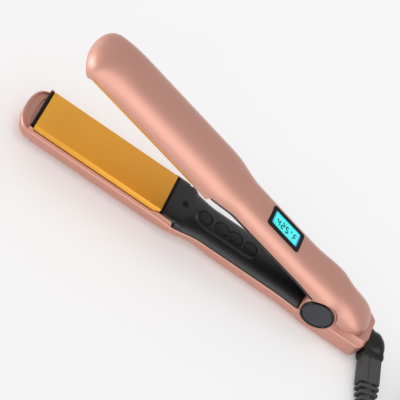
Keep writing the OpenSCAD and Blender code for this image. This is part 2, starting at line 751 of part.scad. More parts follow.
module hinge_pin() { color(steel) lower_place() axle(pin_r, -ear_out + cap_seat, ear_out - cap_seat); }
spring_r = pin_r + bush_t + 1.9;
spring_y = ear_in - 0.6 - wire_r;
spring_step = 2 * wire_r + 0.25;
spring_in = spring_y - spring_step * (spring_turns + 1);
barrel_in = spring_in - 2;
spring_leg = 12;
spring_foot = 8;
spring_seat = spring_r + wire_r + seat_gap;
module opening_spring() {
    turn = spring_turns * 360 + 180 - open_angle;
    coil = [
        for (a = [0:15:turn])
            let (left = spring_step * (spring_turns + 0.5) * (1 - a / turn))
            [spring_r * sin(a), spring_y - left, -spring_r * cos(a)]
    ];
    first = coil[0] + [-spring_foot, 0, 0];
    end = coil[len(coil) - 1] + spring_leg * [-cos(open_angle), 0, sin(open_angle)];
    path = concat([first], coil, [end]);
    rings = [
        for (i = [0:len(path) - 1])
            let (t = unit(path[min(len(path) - 1, i + 1)] - path[max(0, i - 1)]))
            let (s = unit(cross(t, [0, 1, 0])))
            let (n = cross(s, t))
            [for (k = [0:5]) path[i] + wire_r * (cos(60 * k) * s + sin(60 * k) * n)]
    ];
    color(steel) lower_place() loft(rings);
}

module cap_body() {
    rotate_extrude() polygon([[0, 0], [cap_r - ring_w - 0.1, 0], [cap_r - ring_w - 0.1, cap_t - 0.4],
                              [cap_r - ring_w - 0.6, cap_t], [0, cap_t]]);
    translate([0, 0, -cap_seat + 0.1]) cylinder(r = cap_stub_r - 0.05, h = cap_seat);
}
module hinge_cap_near() {
    color(slate) lower_place() translate([0, -ear_out, 0]) rotate([90, 0, 0]) cap_body();
}
module hinge_cap_far() {
    color(slate) lower_place() translate([0, ear_out, 0]) rotate([-90, 0, 0]) cap_body();
}
module hinge_cap_rings() {
    color(black) lower_place() for (s = [-1, 1])
        translate([0, s * ear_out, 0]) rotate([-90 * s, 0, 0]) difference() {
            cylinder(r = cap_r, h = cap_t + 0.2);
            translate([0, 0, -1]) cylinder(r = cap_r - ring_w, h = cap_t + 3);
        }
}

// Swivel: a bush in the arm's rear wall, and a collar that turns in it and bends to the cord
module swivel_at() { translate([swivel_x, 0, -swivel_drop]) children(); }
module swivel_place() { lower_place() swivel_at() children(); }
module along_x(r, x0, x1) { translate([x0, 0, 0]) rotate([0, 90, 0]) cylinder(r = r, h = x1 - x0); }
module swivel_bush() {
    color(grey) swivel_place() difference() {
        union() {
            along_x(bush_r, -bush_l, 0);
            along_x(bush_flange_r, -bush_l - 1, -bush_l);
        }
        along_x(neck_r + neck_gap, -10, 10);
    }
}
collar_gap = 0.3;
mouth_wall = 1.2;
module swivel_collar() {
    color(black) swivel_place() rotate([collar_roll, 0, 0]) {
        along_x(neck_r, -7, collar_gap + 0.5);
        hull() {
            along_x(collar_r, collar_gap, collar_gap + collar_l, $fn = 48);
            mouth_turn() translate([0, 0, -1])
                linear_extrude(1) oblong(grip_h + 2 * mouth_wall, grip_w + 2 * mouth_wall, 2.4, $fn = 24);
        }
    }
}
module swivel_clip() {
    color(steel) swivel_place() difference() {
        along_x(neck_r + 1.4, -6.4, -5.3);
        along_x(neck_r, -10, 0);
    }
}
// Places a piece on the collar's mouth, with its Z along the cord
module mouth_turn() {
    translate([mouth_x, -mouth_y, 0]) rotate([0, 0, -elbow_angle]) rotate([0, 90, 0]) children();
}
module mouth_place() { swivel_place() rotate([collar_roll, 0, 0]) mouth_turn() children(); }
module oblong(h, w, r) {
    for (x = [-1, 1], y = [-1, 1]) translate([x * (h / 2 - r), y * (w / 2 - r)]) circle(r = r);
    square([h, w - 2 * r], center = true);
    square([h - 2 * r, w], center = true);
}
boot_l = grip_l + ribs * rib_pitch + 1;
module cord_boot() {
    color(grey) mouth_place() {
        difference() {
            linear_extrude(grip_l) oblong(grip_h, grip_w, 1.5);
            for (s = [-1, 1]) translate([s * grip_h / 2, -grip_w / 6, grip_l / 2])
                cube([1, 0.9, grip_l * 2], center = true);
        }
        for (i = [0:ribs - 1])
            let (k = i / (ribs - 1))
            translate([0, 0, grip_l + (i + 0.45) * rib_pitch]) linear_extrude(rib_pitch * 0.45)
                oblong(mix(grip_h, cord_d + 1.4, k), mix(grip_w, cord_d + 2.6, k), 1.5);
        translate([0, 0, grip_l - 0.5])
            cylinder(r1 = grip_h / 2 - 1, r2 = cord_d / 2 + 0.4, h = boot_l - grip_l + 0.5);
    }
}

// Cord: a lead from the strain relief, a coil of the rest and a plug that lies on it
out = [cos(elbow_angle), -sin(elbow_angle) * cos(collar_roll), -sin(elbow_angle) * sin(collar_roll)];
mouth = [hinge_x + swivel_x + mouth_x, -mouth_y * cos(collar_roll),
         hinge_z - swivel_drop - mouth_y * sin(collar_roll)];
boot_end = mouth + boot_l * out;
lead_r = 28;
lead_from = boot_end + cord_d * out;
lead_turn = atan2(out[1], out[0]);
coil_out = coil_r + coil_step * coil_turns;
coil_at = [226, lead_from[1] + lead_r * (cos(lead_turn) - 1) + coil_out];
coil_start = 270;
coil_z = cord_d / 2 + tie_t + 0.5;
coil_short = 0.2;
coil_total = coil_turns * coil_layers - coil_short;
coil_top = coil_z + coil_step * (coil_layers - 1) + cord_d / 2;
climb_turn = 0.25;
leave_r = 30;
leave_angle = 120;
leave_steps = 10;
plug_gap = 0.3;
plug_z = coil_top + plug_gap + plug_h / 2;
// Bend in plan from one heading to another, on the left of the way
function bend(r, from, to) = r * [sin(to) - sin(from), cos(from) - cos(to)];
// Radius and layer of the coil after t turns: in and out by layers, then up on the last one
function coil_fold(t) = abs(((t / coil_turns) % 2) - 1);
function coil_radius(t) = coil_r + coil_step * coil_turns * coil_fold(t);
function coil_layer(t) =
    let (n = max(1, min(coil_layers - 1, round(t / coil_turns))))
    n - 1 + ramp(t, n * coil_turns - 0.25, n * coil_turns + 0.25)
    + ramp(t, coil_total - climb_turn, coil_total);
function coil_point(t) =
    let (r = coil_radius(t), a = coil_start + 360 * t)
    [coil_at[0] + r * cos(a), coil_at[1] + r * sin(a), coil_z + coil_step * coil_layer(t)];
function coil_heading(t) = let (a = coil_start + 360 * t) [-sin(a), cos(a), 0];
coil_path = [for (i = [0:24 * coil_total]) coil_point(i / 24)];
coil_first = coil_path[0] - cord_d * coil_heading(0);
coil_end = coil_point(coil_total);
end_turn = coil_start + 360 * coil_total + 90;
plug_turn = end_turn + leave_angle;
leave_path = [
    for (i = [1:leave_steps])
        let (k = i / leave_steps)
        let (d = bend(leave_r, end_turn, end_turn + leave_angle * k))
        [coil_end[0] + d[0], coil_end[1] + d[1], mix(coil_end[2], plug_z, ramp(k, 0, 1))]
];
plug_at = leave_path[leave_steps - 1] + cord_d * [cos(plug_turn), sin(plug_turn), 0];
cord_path = concat([coil_first], coil_path, leave_path, [plug_at]);
// Least gap between turns of the coil that lie at least half a turn apart
coil_gap = min([for (i = [0:len(cord_path) - 1]) for (j = [i + 12:1:len(cord_path) - 1])
    norm(cord_path[i] - cord_path[j])]) - cord_d;
echo(coil_gap = coil_gap);
lead_bend = [
    for (i = [0:6])
        let (d = bend(lead_r, lead_turn, lead_turn * (1 - i / 6)))
        [lead_from[0] + d[0], lead_from[1] + d[1], mix(lead_from[2], coil_z, ramp(i, 0, 4))]
];
lead_path = concat([boot_end], lead_bend, [coil_first - cord_d * coil_heading(0), coil_first]);

module cord_lead() { color(black) tube(lead_path, cord_d / 2, 10); }
module cord_coil() { color(black) tube(cord_path, cord_d / 2, 6); }
tie_angle = 80;
module cord_tie() {
    r0 = coil_r - cord_d / 2 - 0.8;
    r1 = coil_out + cord_d / 2 + 0.4;
    z0 = coil_z - cord_d / 2 - 0.3;
    z1 = coil_top + 0.3;
    color(black) translate([coil_at[0], coil_at[1], 0]) rotate([0, 0, tie_angle]) difference() {
        translate([r0 - tie_t, -tie_w / 2, z0 - tie_t])
            cube([r1 - r0 + 2 * tie_t, tie_w, z1 - z0 + 2 * tie_t]);
        translate([r0, -tie_w, z0]) cube([r1 - r0, 2 * tie_w, z1 - z0]);
    }
}
// Places a piece of the plug, with its Z along the cord
module plug_place() {
    translate(plug_at) rotate([0, 0, plug_turn]) rotate([0, 90, 0]) children();
}
relief_l = 14;
blade_l = 16;
module plug_body() {
    color(black) plug_place() {
        cylinder(r1 = cord_d / 2 + 0.8, r2 = cord_d / 2 + 3, h = relief_l);
        translate([0, 0, relief_l - 0.5]) linear_extrude(plug_l + 0.5) oblong(plug_h, plug_w, 5);
    }
}
module plug_blades() {
    color(steel) plug_place() for (s = [-1, 1])
        translate([-3.2, s * 6.35 - 0.75, relief_l + plug_l]) cube([6.4, 1.5, blade_l]);
}

// Upper arm
frame_top = upper_depth(display_u) + frame_proud;
display_under = frame_top - lens_t - panel_t - 1;
display_over = 2;
lens_sink = 0.15;
module display_cut(grow, l, w, d0, d1) {
    block(display_u - l / 2 - grow, display_u + l / 2 + grow, -w / 2 - grow, w / 2 + grow, d0, d1);
}
module upper_shell() {
    color(rose) upper_place() difference() {
        union() {
            difference() {
                upper_outside();
                upper_room();
                nose_recess();
                axle(ear_r + hinge_gap, ear_in - hinge_gap, big);
                axle(ear_r + hinge_gap, -big, -ear_in + hinge_gap);
            }
            nose_ridge();
            holder_seats(head_d);
            screw_bosses(upper_depth(screw_u), upper_depth(rear_screw_u));
            axle(barrel_r, -ear_in + hinge_gap, barrel_in);
            block(-6, 6, -ear_in + hinge_gap, barrel_in, 2, hinge_d - wall / 2 - 0.8);
            block(spring_leg - 4, spring_leg - 1, spring_in, ear_in - hinge_gap,
                  spring_seat, grip_d - wall / 2);
        }
        screw_bores();
        axle(pin_r + pin_gap + bush_t, -big, big);
        display_cut(display_gap, frame_l, frame_w, 0, big);
    }
}
module upper_cover() {
    color(black) upper_place() difference() {
        union() {
            cover_body();
            cover_bosses();
        }
        screw_holes();
    }
}
module upper_plate() { color(gold) upper_place() plate_body(); }
module upper_plate_holder() { color(black) upper_place() holder_body(); }
module upper_heater() { color(steel) upper_place() heater_body(); }
module upper_heater_clip() { color(steel) upper_place() clip_body(); }
module upper_float_pads() { color(grey) upper_place() pads_body(); }
module upper_sensor() { color(grey) upper_place() sensor_body(); }
module upper_screws() { color(black) upper_place() screws_body(); }
module hinge_bush() {
    color([0.8, 0.65, 0.35]) upper_place() difference() {
        axle(pin_r + pin_gap + bush_t, -ear_in + hinge_gap, barrel_in);
        axle(pin_r + pin_gap, -big, big);
    }
}
module display_frame() {
    color(black) upper_place() difference() {
        display_cut(0, frame_l, frame_w, display_under, frame_top);
        display_cut(0, frame_l - 2 * frame_edge, frame_w - 2 * frame_edge, 0, big);
        display_cut(0, frame_l - frame_edge, frame_w - frame_edge, 0, frame_top - lens_t);
    }
}
module display_window() {
    color([0.7, 0.9, 0.95, 0.4]) upper_place()
        display_cut(-display_gap, frame_l - 2 * frame_edge, frame_w - 2 * frame_edge,
                    frame_top - lens_t, frame_top - lens_sink);
}
module display_panel() {
    color([0.2, 0.95, 0.95]) upper_place()
        display_cut(-display_gap, frame_l - frame_edge, frame_w - frame_edge,
                    frame_top - lens_t - panel_t, frame_top - lens_t);
}
module display_board() {
    color([0.1, 0.35, 0.2]) upper_place()
        display_cut(display_over, frame_l, frame_w, display_under - board_t, display_under);
}

lower_shell();
lower_cover();
lower_plate();
lower_plate_holder();
lower_heater();
lower_heater_clip();
lower_float_pads();
lower_sensor();
thermal_fuse();
power_button();
temperature_rocker();
mode_button();
control_board();
button_switches();
lower_screws();
hinge_pin();
opening_spring();
hinge_cap_near();
hinge_cap_far();
hinge_cap_rings();
swivel_bush();
swivel_collar();
swivel_clip();
cord_boot();
cord_lead();
cord_coil();
cord_tie();
plug_body();
plug_blades();
upper_shell();
upper_cover();
upper_plate();
upper_plate_holder();
upper_heater();
upper_heater_clip();
upper_float_pads();
upper_sensor();
upper_screws();
hinge_bush();
display_frame();
display_window();
display_panel();
display_board();
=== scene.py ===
# %% [markdown]
# # A flat iron for hair
# Two long arms swing on a hinge, and a gold hot plate lies in the end of each. The solids come from the
# CAD frame, in metres. This lesson gives them smooth skins, small details and finishes, one piece at a time.

import json
import math

import bpy
import numpy as np
from mathutils import Matrix, Vector

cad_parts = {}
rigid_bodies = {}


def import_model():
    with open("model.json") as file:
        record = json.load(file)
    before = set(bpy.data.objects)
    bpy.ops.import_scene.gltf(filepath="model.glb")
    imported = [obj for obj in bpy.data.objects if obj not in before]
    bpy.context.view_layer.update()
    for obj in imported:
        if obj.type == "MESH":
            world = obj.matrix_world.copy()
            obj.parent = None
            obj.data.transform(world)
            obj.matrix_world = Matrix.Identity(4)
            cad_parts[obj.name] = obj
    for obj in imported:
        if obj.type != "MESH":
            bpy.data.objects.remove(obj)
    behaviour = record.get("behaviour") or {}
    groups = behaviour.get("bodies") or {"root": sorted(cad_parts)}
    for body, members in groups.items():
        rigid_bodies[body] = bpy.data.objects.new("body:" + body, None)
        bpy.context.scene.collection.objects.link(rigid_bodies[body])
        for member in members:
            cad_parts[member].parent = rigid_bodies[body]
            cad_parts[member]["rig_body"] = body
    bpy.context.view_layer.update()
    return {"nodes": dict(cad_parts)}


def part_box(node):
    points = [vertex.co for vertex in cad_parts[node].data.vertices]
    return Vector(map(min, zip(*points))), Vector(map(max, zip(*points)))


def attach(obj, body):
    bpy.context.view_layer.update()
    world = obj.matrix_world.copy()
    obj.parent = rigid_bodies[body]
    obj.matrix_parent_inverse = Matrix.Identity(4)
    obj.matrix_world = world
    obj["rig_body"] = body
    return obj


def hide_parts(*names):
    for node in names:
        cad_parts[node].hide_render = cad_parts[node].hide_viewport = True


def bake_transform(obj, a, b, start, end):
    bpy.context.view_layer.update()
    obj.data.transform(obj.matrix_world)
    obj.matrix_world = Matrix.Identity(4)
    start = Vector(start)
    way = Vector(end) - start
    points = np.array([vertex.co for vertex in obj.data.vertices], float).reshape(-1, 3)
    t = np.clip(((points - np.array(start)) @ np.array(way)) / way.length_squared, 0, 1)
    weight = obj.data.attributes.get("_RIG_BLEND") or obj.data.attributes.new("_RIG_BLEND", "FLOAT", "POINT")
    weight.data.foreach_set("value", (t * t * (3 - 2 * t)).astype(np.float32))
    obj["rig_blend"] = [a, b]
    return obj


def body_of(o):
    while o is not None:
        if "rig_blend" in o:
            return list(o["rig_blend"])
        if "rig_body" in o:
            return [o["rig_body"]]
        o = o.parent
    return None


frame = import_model()
nodes = frame["nodes"]
MM = 0.001
bpy.ops.object.select_all(action="DESELECT")

# %% [markdown]
# ## The camera
# The iron lies diagonally across the picture, seen from above and from its near side. A long lens far away
# keeps the arms nearly parallel. The camera is built from three directions: back towards the viewer, to the
# side and to the top of the picture, with the last two rolled about the line of sight.

# %% Camera
PICTURE, SENSOR = 400, 36.0
DISTANCE, FOCAL_PIXELS = 1150.8, 1792.5
SHIFT_RIGHT, SHIFT_OVER = -1.7, 6.8
elevation, turn, roll = math.radians(47.5), math.radians(-13.15), math.radians(44.08)
back = Vector((math.sin(turn) * math.cos(elevation), -math.cos(turn) * math.cos(elevation),
               math.sin(elevation)))
right = Vector((math.cos(turn), math.sin(turn), 0))
over = back.cross(right)
side = right * math.cos(roll) + over * math.sin(roll)
top = over * math.cos(roll) - right * math.sin(roll)
aim = Vector((-7.8, 0, 19.35))
spot = (aim + DISTANCE * back + SHIFT_RIGHT * right + SHIFT_OVER * over) * MM

lens = bpy.data.cameras.new("camera")
lens.sensor_width = SENSOR
lens.lens = FOCAL_PIXELS / PICTURE * SENSOR
lens.clip_start = 0.05
camera = bpy.data.objects.new("camera", lens)
camera.matrix_world = Matrix.Translation(spot) @ Matrix((side, top, back)).transposed().to_4x4()
bpy.context.collection.objects.link(camera)
bpy.context.scene.camera = camera
print("camera: %.0f mm lens, %.2f m away" % (lens.lens, DISTANCE * MM))

# %% [markdown]
# ## Hands for the work
# A few small helpers do what a hand does in the window: pick one object, go into edit mode, add a modifier
# and apply it, cut one shape out of another. Nearly every piece ends with `dress`, which gives it a finish,
# lets it ride on its body and hides the CAD solids that it stands for.


# %% Helpers
def pick(obj):
    bpy.ops.object.select_all(action="DESELECT")
    obj.select_set(True)
    bpy.context.view_layer.objects.active = obj
    return obj


def in_edit(obj, *steps):
    pick(obj)
    bpy.ops.object.mode_set(mode="EDIT")
    bpy.ops.mesh.select_all(action="SELECT")
    for step in steps:
        step()
    bpy.ops.object.mode_set(mode="OBJECT")
    return obj


def outwards():
    bpy.ops.mesh.normals_make_consistent(inside=False)


def merge():
    bpy.ops.mesh.remove_doubles(threshold=2e-6)


def modify(obj, kind, **settings):
    pick(obj)
    step = obj.modifiers.new(kind.lower(), kind)
    for key, value in settings.items():
        setattr(step, key, value)
    bpy.ops.object.modifier_apply(modifier=step.name)
    return obj


def shape_with(obj, operation, *tools):
    for tool in tools:
        modify(obj, "BOOLEAN", operation=operation, solver="MANIFOLD", object=tool)
        bpy.data.meshes.remove(tool.data)
    return obj


def cut(obj, *tools):
    return shape_with(obj, "DIFFERENCE", *tools)


def add(obj, *tools):
    return shape_with(obj, "UNION", *tools)


def bevel(obj, width, segments=2, angle=30):
    return modify(obj, "BEVEL", width=width * MM, segments=segments, limit_method="ANGLE",
                  angle_limit=math.radians(angle))


def smooth(obj, angle=32):
    pick(obj)
    bpy.ops.object.shade_smooth_by_angle(angle=math.radians(angle))
    return obj


def new_piece(name, points, faces):
    mesh = bpy.data.meshes.new(name)
    mesh.from_pydata([tuple(p) for p in points], [], faces)
    obj = bpy.data.objects.new(name, mesh)
    bpy.context.collection.objects.link(obj)
    return obj


def loft(name, rings):
    """A closed skin through rings that have the same number of points, with both ends capped."""
    count = len(rings[0])
    faces = []
    for i in range(len(rings) - 1):
        here, there = i * count, (i + 1) * count
        for j in range(count):
            k = (j + 1) % count
            faces.append((here + j, here + k, there + k, there + j))
    faces += [tuple(range(count)), tuple(range((len(rings) - 1) * count, len(rings) * count))]
    return in_edit(new_piece(name, [p for ring in rings for p in ring], faces), outwards)


def coat(obj, finish):
    obj.data.materials.clear()
    obj.data.materials.append(finish)


def dress(obj, finish, slot, *stands_for, body=None):
    """Makes a piece ready. Without a finish, it keeps the materials that it has."""
    if finish:
        coat(obj, finish)
    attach(obj, body or body_of(nodes[stands_for[0]])[0])
    if stands_for:
        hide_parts(*stands_for)
    print("%s: %d faces" % (obj.name, len(obj.data.polygons)))
    return obj


FLAT = math.radians(0.4)


def softened(name, node, width, segments=2, angle=30):
    """A merged copy of a CAD solid with its sharp edges rounded."""
    obj = bpy.data.objects.new(name, nodes[node].data.copy())
    bpy.context.collection.objects.link(obj)
    obj.data.materials.clear()
    pick(obj)
    bpy.ops.mesh.customdata_custom_splitnormals_clear()
    in_edit(obj, merge, lambda: bpy.ops.mesh.dissolve_limited(angle_limit=FLAT))
    bevel(obj, width, segments, angle)
    return smooth(obj)


# %% [markdown]
# ## Finishes
# A finish is a small network of nodes round one Principled shader. The class `Socket` lets a network be
# written like a sum, and `Finish.node` adds any other node. Noise at the scale of the real surface moves the
# colour, the roughness and the bump a little, because no real surface is one flat colour.


# %% Shader sums
class Socket:
    """A node's output that can be added, multiplied and so on."""

    def __init__(self, finish, socket):
        self.finish = finish
        self.socket = socket

    def calc(self, operation, first, second=0.0):
        return self.finish.node("ShaderNodeMath", {"operation": operation}, {0: first, 1: second})

    def __add__(self, other):
        return self.calc("ADD", self, other)

    def __sub__(self, other):
        return self.calc("SUBTRACT", self, other)

    def __rsub__(self, other):
        return self.calc("SUBTRACT", other, self)

    def __mul__(self, other):
        return self.calc("MULTIPLY", self, other)

    def __truediv__(self, other):
        return self.calc("DIVIDE", self, other)

    def __rtruediv__(self, other):
        return self.calc("DIVIDE", other, self)

    def __abs__(self):
        return self.calc("ABSOLUTE", self)

    __radd__ = __add__
    __rmul__ = __mul__


class Finish:
    """A material and the means to add nodes to it."""

    def __init__(self, name, **constants):
        self.material = bpy.data.materials.new(name)
        self.material.use_nodes = True
        self.tree = self.material.node_tree
        self.shader = self.tree.nodes["Principled BSDF"]
        self.place = self.node("ShaderNodeTexCoord", {}, {}, "Object")
        self.set(**constants)

    def node(self, kind, settings, inputs, output=0):
        added = self.tree.nodes.new(kind)
        for key, value in settings.items():
            setattr(added, key, value)
        for key, value in inputs.items():
            self.join(added.inputs[key], value)
        return Socket(self, added.outputs[output])

    def join(self, target, value):
        if isinstance(value, Socket):
            self.tree.links.new(value.socket, target)
        else:
            target.default_value = value

    def set(self, **inputs):
        for key, value in inputs.items():
            self.join(self.shader.inputs[key.replace("_", " ")], value)
        return self

    def noise(self, scale, detail=2.0, stretch=(1, 1, 1)):
        where = self.node("ShaderNodeMapping", {}, {"Vector": self.place, "Scale": stretch})
        return self.node("ShaderNodeTexNoise", {}, {"Vector": where, "Scale": scale, "Detail": detail})

    def blend(self, share, first, second):
        return self.node("ShaderNodeMix", {"data_type": "RGBA"}, {0: share, 6: first, 7: second}, 2)

    def bump(self, height, strength, distance=0.0002):
        inputs = {"Strength": strength, "Distance": distance, "Height": height}
        return self.node("ShaderNodeBump", {}, inputs)


def linear(level):
    """A screen level of 0 to 255 as linear light."""
    return level / 255 / 12.92 if level < 11 else ((level / 255 + 0.055) / 1.055) ** 2.4


def tint(red, green, blue):
    """A screen colour of 0 to 255 as the linear colour that a shader takes."""
    return (linear(red), linear(green), linear(blue), 1.0)


# %% [markdown]
# The casing is plastic with a satin rose-gold lacquer: mostly metallic, softly rough, with fine flake. The
# plates are metal under a gold ceramic coat that was rubbed lengthwise, so their noise is stretched along X.


# %% Rose gold and plate gold
def rose_lacquer():
    f = Finish("rose_lacquer", Metallic=0.85, Coat_Weight=0.8, Coat_Roughness=0.35)
    flake, cloud = f.noise(2600, 3), f.noise(40, 3)
    f.set(Base_Color=f.blend(flake * 0.5 + cloud * 0.5, tint(205, 149, 132), tint(217, 161, 144)))
    f.set(Roughness=0.5 + flake * 0.08 + cloud * 0.05, Normal=f.bump(flake, 0.03))
    return f.material


def plate_gold():
    f = Finish("plate_gold", Metallic=0.4)
    streak, cloud = f.noise(900, 3, (0.04, 1, 1)), f.noise(30, 3)
    f.set(Base_Color=f.blend(streak * 0.5 + cloud * 0.5, tint(246, 174, 54), tint(255, 186, 64)))
    f.set(Roughness=0.3 + streak * 0.12 + cloud * 0.06, Normal=f.bump(streak, 0.03))
    return f.material


rose = rose_lacquer()
gold = plate_gold()
print("finishes:", rose.name, gold.name)

# %% [markdown]
# The handles' covers, the controls, the hood and the plug are black plastic. They differ in gloss and in
# the fineness of their moulded grain, so one function makes them all, and the rubber, ceramic and board
# inside as well. A second function makes the bare metals.


# %% Plastics, rubber and inner materials
def plastic(name, dark, pale, roughness, grain, depth, shine=0.5):
    f = Finish(name, Specular_IOR_Level=shine)
    fine, cloud = f.noise(grain, 2), f.noise(60, 3)
    f.set(Base_Color=f.blend(cloud, dark, pale), Roughness=roughness + fine * 0.1 + cloud * 0.06)
    f.set(Normal=f.bump(fine, depth))
    return f.material


def metal(name, dark, pale, roughness):
    f = Finish(name, Metallic=1.0)
    streak, cloud = f.noise(1500, 3), f.noise(80, 3)
    f.set(Base_Color=f.blend(streak * 0.6 + cloud * 0.4, dark, pale))
    f.set(Roughness=roughness + streak * 0.15, Normal=f.bump(streak, 0.04))
    return f.material


satin_black = plastic("satin_black", tint(20, 19, 23), tint(26, 25, 29), 0.34, 4500, 0.05, shine=0.6)
button_black = plastic("button_black", tint(16, 16, 18), tint(22, 22, 24), 0.3, 4000, 0.03, shine=0.4)
mark_grey = plastic("mark_grey", tint(46, 46, 50), tint(56, 56, 60), 0.4, 4000, 0.03)
bar_black = plastic("bar_black", tint(8, 8, 10), tint(14, 14, 16), 0.45, 4000, 0.03, shine=0.2)
hood_black = plastic("hood_black", tint(12, 12, 13), tint(18, 18, 19), 0.2, 3000, 0.02, shine=0.4)
bezel_black = plastic("bezel_black", tint(9, 11, 14), tint(15, 17, 20), 0.3, 3000, 0.02, shine=0.2)
boot_grey = plastic("boot_grey", tint(62, 62, 63), tint(74, 74, 75), 0.55, 3500, 0.08)
cord_black = plastic("cord_black", tint(22, 22, 23), tint(34, 34, 35), 0.42, 2500, 0.06)
plug_black = plastic("plug_black", tint(24, 24, 25), tint(34, 34, 35), 0.45, 3000, 0.08)
pad_grey = plastic("pad_grey", tint(120, 118, 114), tint(140, 138, 134), 0.7, 2500, 0.1)
ceramic = plastic("ceramic", tint(214, 208, 196), tint(232, 228, 218), 0.6, 3500, 0.1)
board_green = plastic("board_green", tint(22, 74, 44), tint(34, 96, 58), 0.35, 1800, 0.05)
bright_steel = metal("bright_steel", tint(168, 169, 172), tint(205, 206, 208), 0.22)
dark_steel = metal("dark_steel", tint(40, 40, 43), tint(66, 66, 70), 0.3)
warm_brass = metal("warm_brass", tint(176, 134, 62), tint(208, 168, 92), 0.26)
print("finishes:", len(bpy.data.materials))

# %% [markdown]
# ## The cord
# Only the strain relief shows in the picture, so the cord's length is what such an iron has, 2.7 to 3 m.
# It leaves the strain relief, turns along the floor and lies in a neat coil of four layers, with its plug on
# top. A poly curve with a round bevel gives the tube. It becomes a mesh, because its first centimetres
# follow the swivel and the rest stays on the floor.


# %% Cord
def mix(a, b, share):
    return a + (b - a) * share


def ramp(t, a, b):
    k = max(0.0, min(1.0, (t - a) / (b - a)))
    return k * k * (3 - 2 * k)


CORD_D = 6.5
COIL_R, COIL_STEP, COIL_TURNS, COIL_LAYERS = 26.0, 7.0, 3, 4
COIL_START, COIL_Z, COIL_TOTAL, CLIMB_TURN = 270.0, 4.55, 11.8, 0.25
COIL_X, COIL_POINTS = 226, 600
LEAD_R, LEAVE_R, LEAVE_ANGLE, PLUG_Z = 28.0, 30.0, 120.0, 37.6
LEAD_STEPS, LEAD_RISE, LEAVE_STEPS = 18, 12, 30
BOOT_END = Vector((156.78, -56.77, 3.98))
LEAD_FROM = Vector((158.57, -62.99, 3.42))
LEAD_TURN = math.degrees(math.atan2(LEAD_FROM.y - BOOT_END.y, LEAD_FROM.x - BOOT_END.x))


def bend(r, first, last):
    """The way across an arc of radius r, from one heading to another."""
    a, b = math.radians(first), math.radians(last)
    return Vector((r * (math.sin(b) - math.sin(a)), r * (math.cos(a) - math.cos(b)), 0))


LEAD_TO = LEAD_FROM + bend(LEAD_R, LEAD_TURN, 0)
COIL_AT = Vector((COIL_X, LEAD_TO.y + COIL_R + COIL_STEP * COIL_TURNS, 0))


def coil_point(t):
    fold = abs((t / COIL_TURNS) % 2 - 1)
    n = max(1, min(COIL_LAYERS - 1, math.floor(t / COIL_TURNS + 0.5)))
    climb = n * COIL_TURNS
    layer = n - 1 + ramp(t, climb - CLIMB_TURN, climb + CLIMB_TURN)
    layer += ramp(t, COIL_TOTAL - CLIMB_TURN, COIL_TOTAL)
    radius = COIL_R + COIL_STEP * COIL_TURNS * fold
    angle = math.radians(COIL_START + 360 * t)
    height = COIL_Z + COIL_STEP * layer
    return COIL_AT + Vector((radius * math.cos(angle), radius * math.sin(angle), height))


lead = [BOOT_END]
for i in range(LEAD_STEPS + 1):
    p = LEAD_FROM + bend(LEAD_R, LEAD_TURN, LEAD_TURN * (1 - i / LEAD_STEPS))
    lead.append(Vector((p.x, p.y, mix(LEAD_FROM.z, COIL_Z, ramp(i, 0, LEAD_RISE)))))
wound = [coil_point(COIL_TOTAL * i / COIL_POINTS) for i in range(COIL_POINTS + 1)]
END_TURN = COIL_START + 360 * COIL_TOTAL + 90
leave = []
for i in range(1, LEAVE_STEPS + 1):
    p = wound[-1] + bend(LEAVE_R, END_TURN, END_TURN + LEAVE_ANGLE * i / LEAVE_STEPS)
    leave.append(Vector((p.x, p.y, mix(wound[-1].z, PLUG_Z, ramp(i, 0, LEAVE_STEPS)))))
plug_turn = math.radians(END_TURN + LEAVE_ANGLE)
into_plug = leave[-1] + CORD_D * Vector((math.cos(plug_turn), math.sin(plug_turn), 0))
cord_path = [p * MM for p in lead + wound + leave + [into_plug]]
cord_length = sum((b - a).length for a, b in zip(cord_path, cord_path[1:]))

line = bpy.data.curves.new("cord", "CURVE")
line.dimensions = "3D"
line.bevel_depth = CORD_D / 2 * MM
line.bevel_resolution = 5
line.use_fill_caps = True
run = line.splines.new("POLY")
run.points.add(len(cord_path) - 1)
for point, p in zip(run.points, cord_path):
    point.co = (p.x, p.y, p.z, 1)
cord = bpy.data.objects.new("cord", line)
bpy.context.collection.objects.link(cord)
pick(cord)
bpy.ops.object.convert(target="MESH")
cord = bpy.context.view_layer.objects.active
cord.name = "cord"
smooth(cord, 50)
coat(cord, cord_black)
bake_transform(cord, "swivel", "root", start=(0.1568, -0.06, 0.004), end=(0.1756, -0.06, 0.004))
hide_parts("cord_lead", "cord_coil")
print("cord: %.2f m long, %.1f mm thick" % (cord_length, CORD_D))

# %% Plug and tie
plug = dress(softened("plug", "plug_body", 1.6, segments=3, angle=40), plug_black, "plug", "plug_body")
blades = dress(softened("blades", "plug_blades", 0.3), bright_steel, "steel", "plug_blades")
tie = dress(softened("tie", "cord_tie", 0.3), plug_black, "cord", "cord_tie")

# %% [markdown]
# ## The arms' shape
# Both arms are drawn alike, as sections along a line that runs from the hinge to the tip. `u` is the
# distance from the hinge, `y` goes across, and `drop` is the depth below the plane where the shut arms would
# meet. The upper arm is drawn upside down and turned open about the hinge. It has a rounder section and a
# tail. Smooth ramps carry a width or a depth from one station to the next, and a taper rounds the ends off.

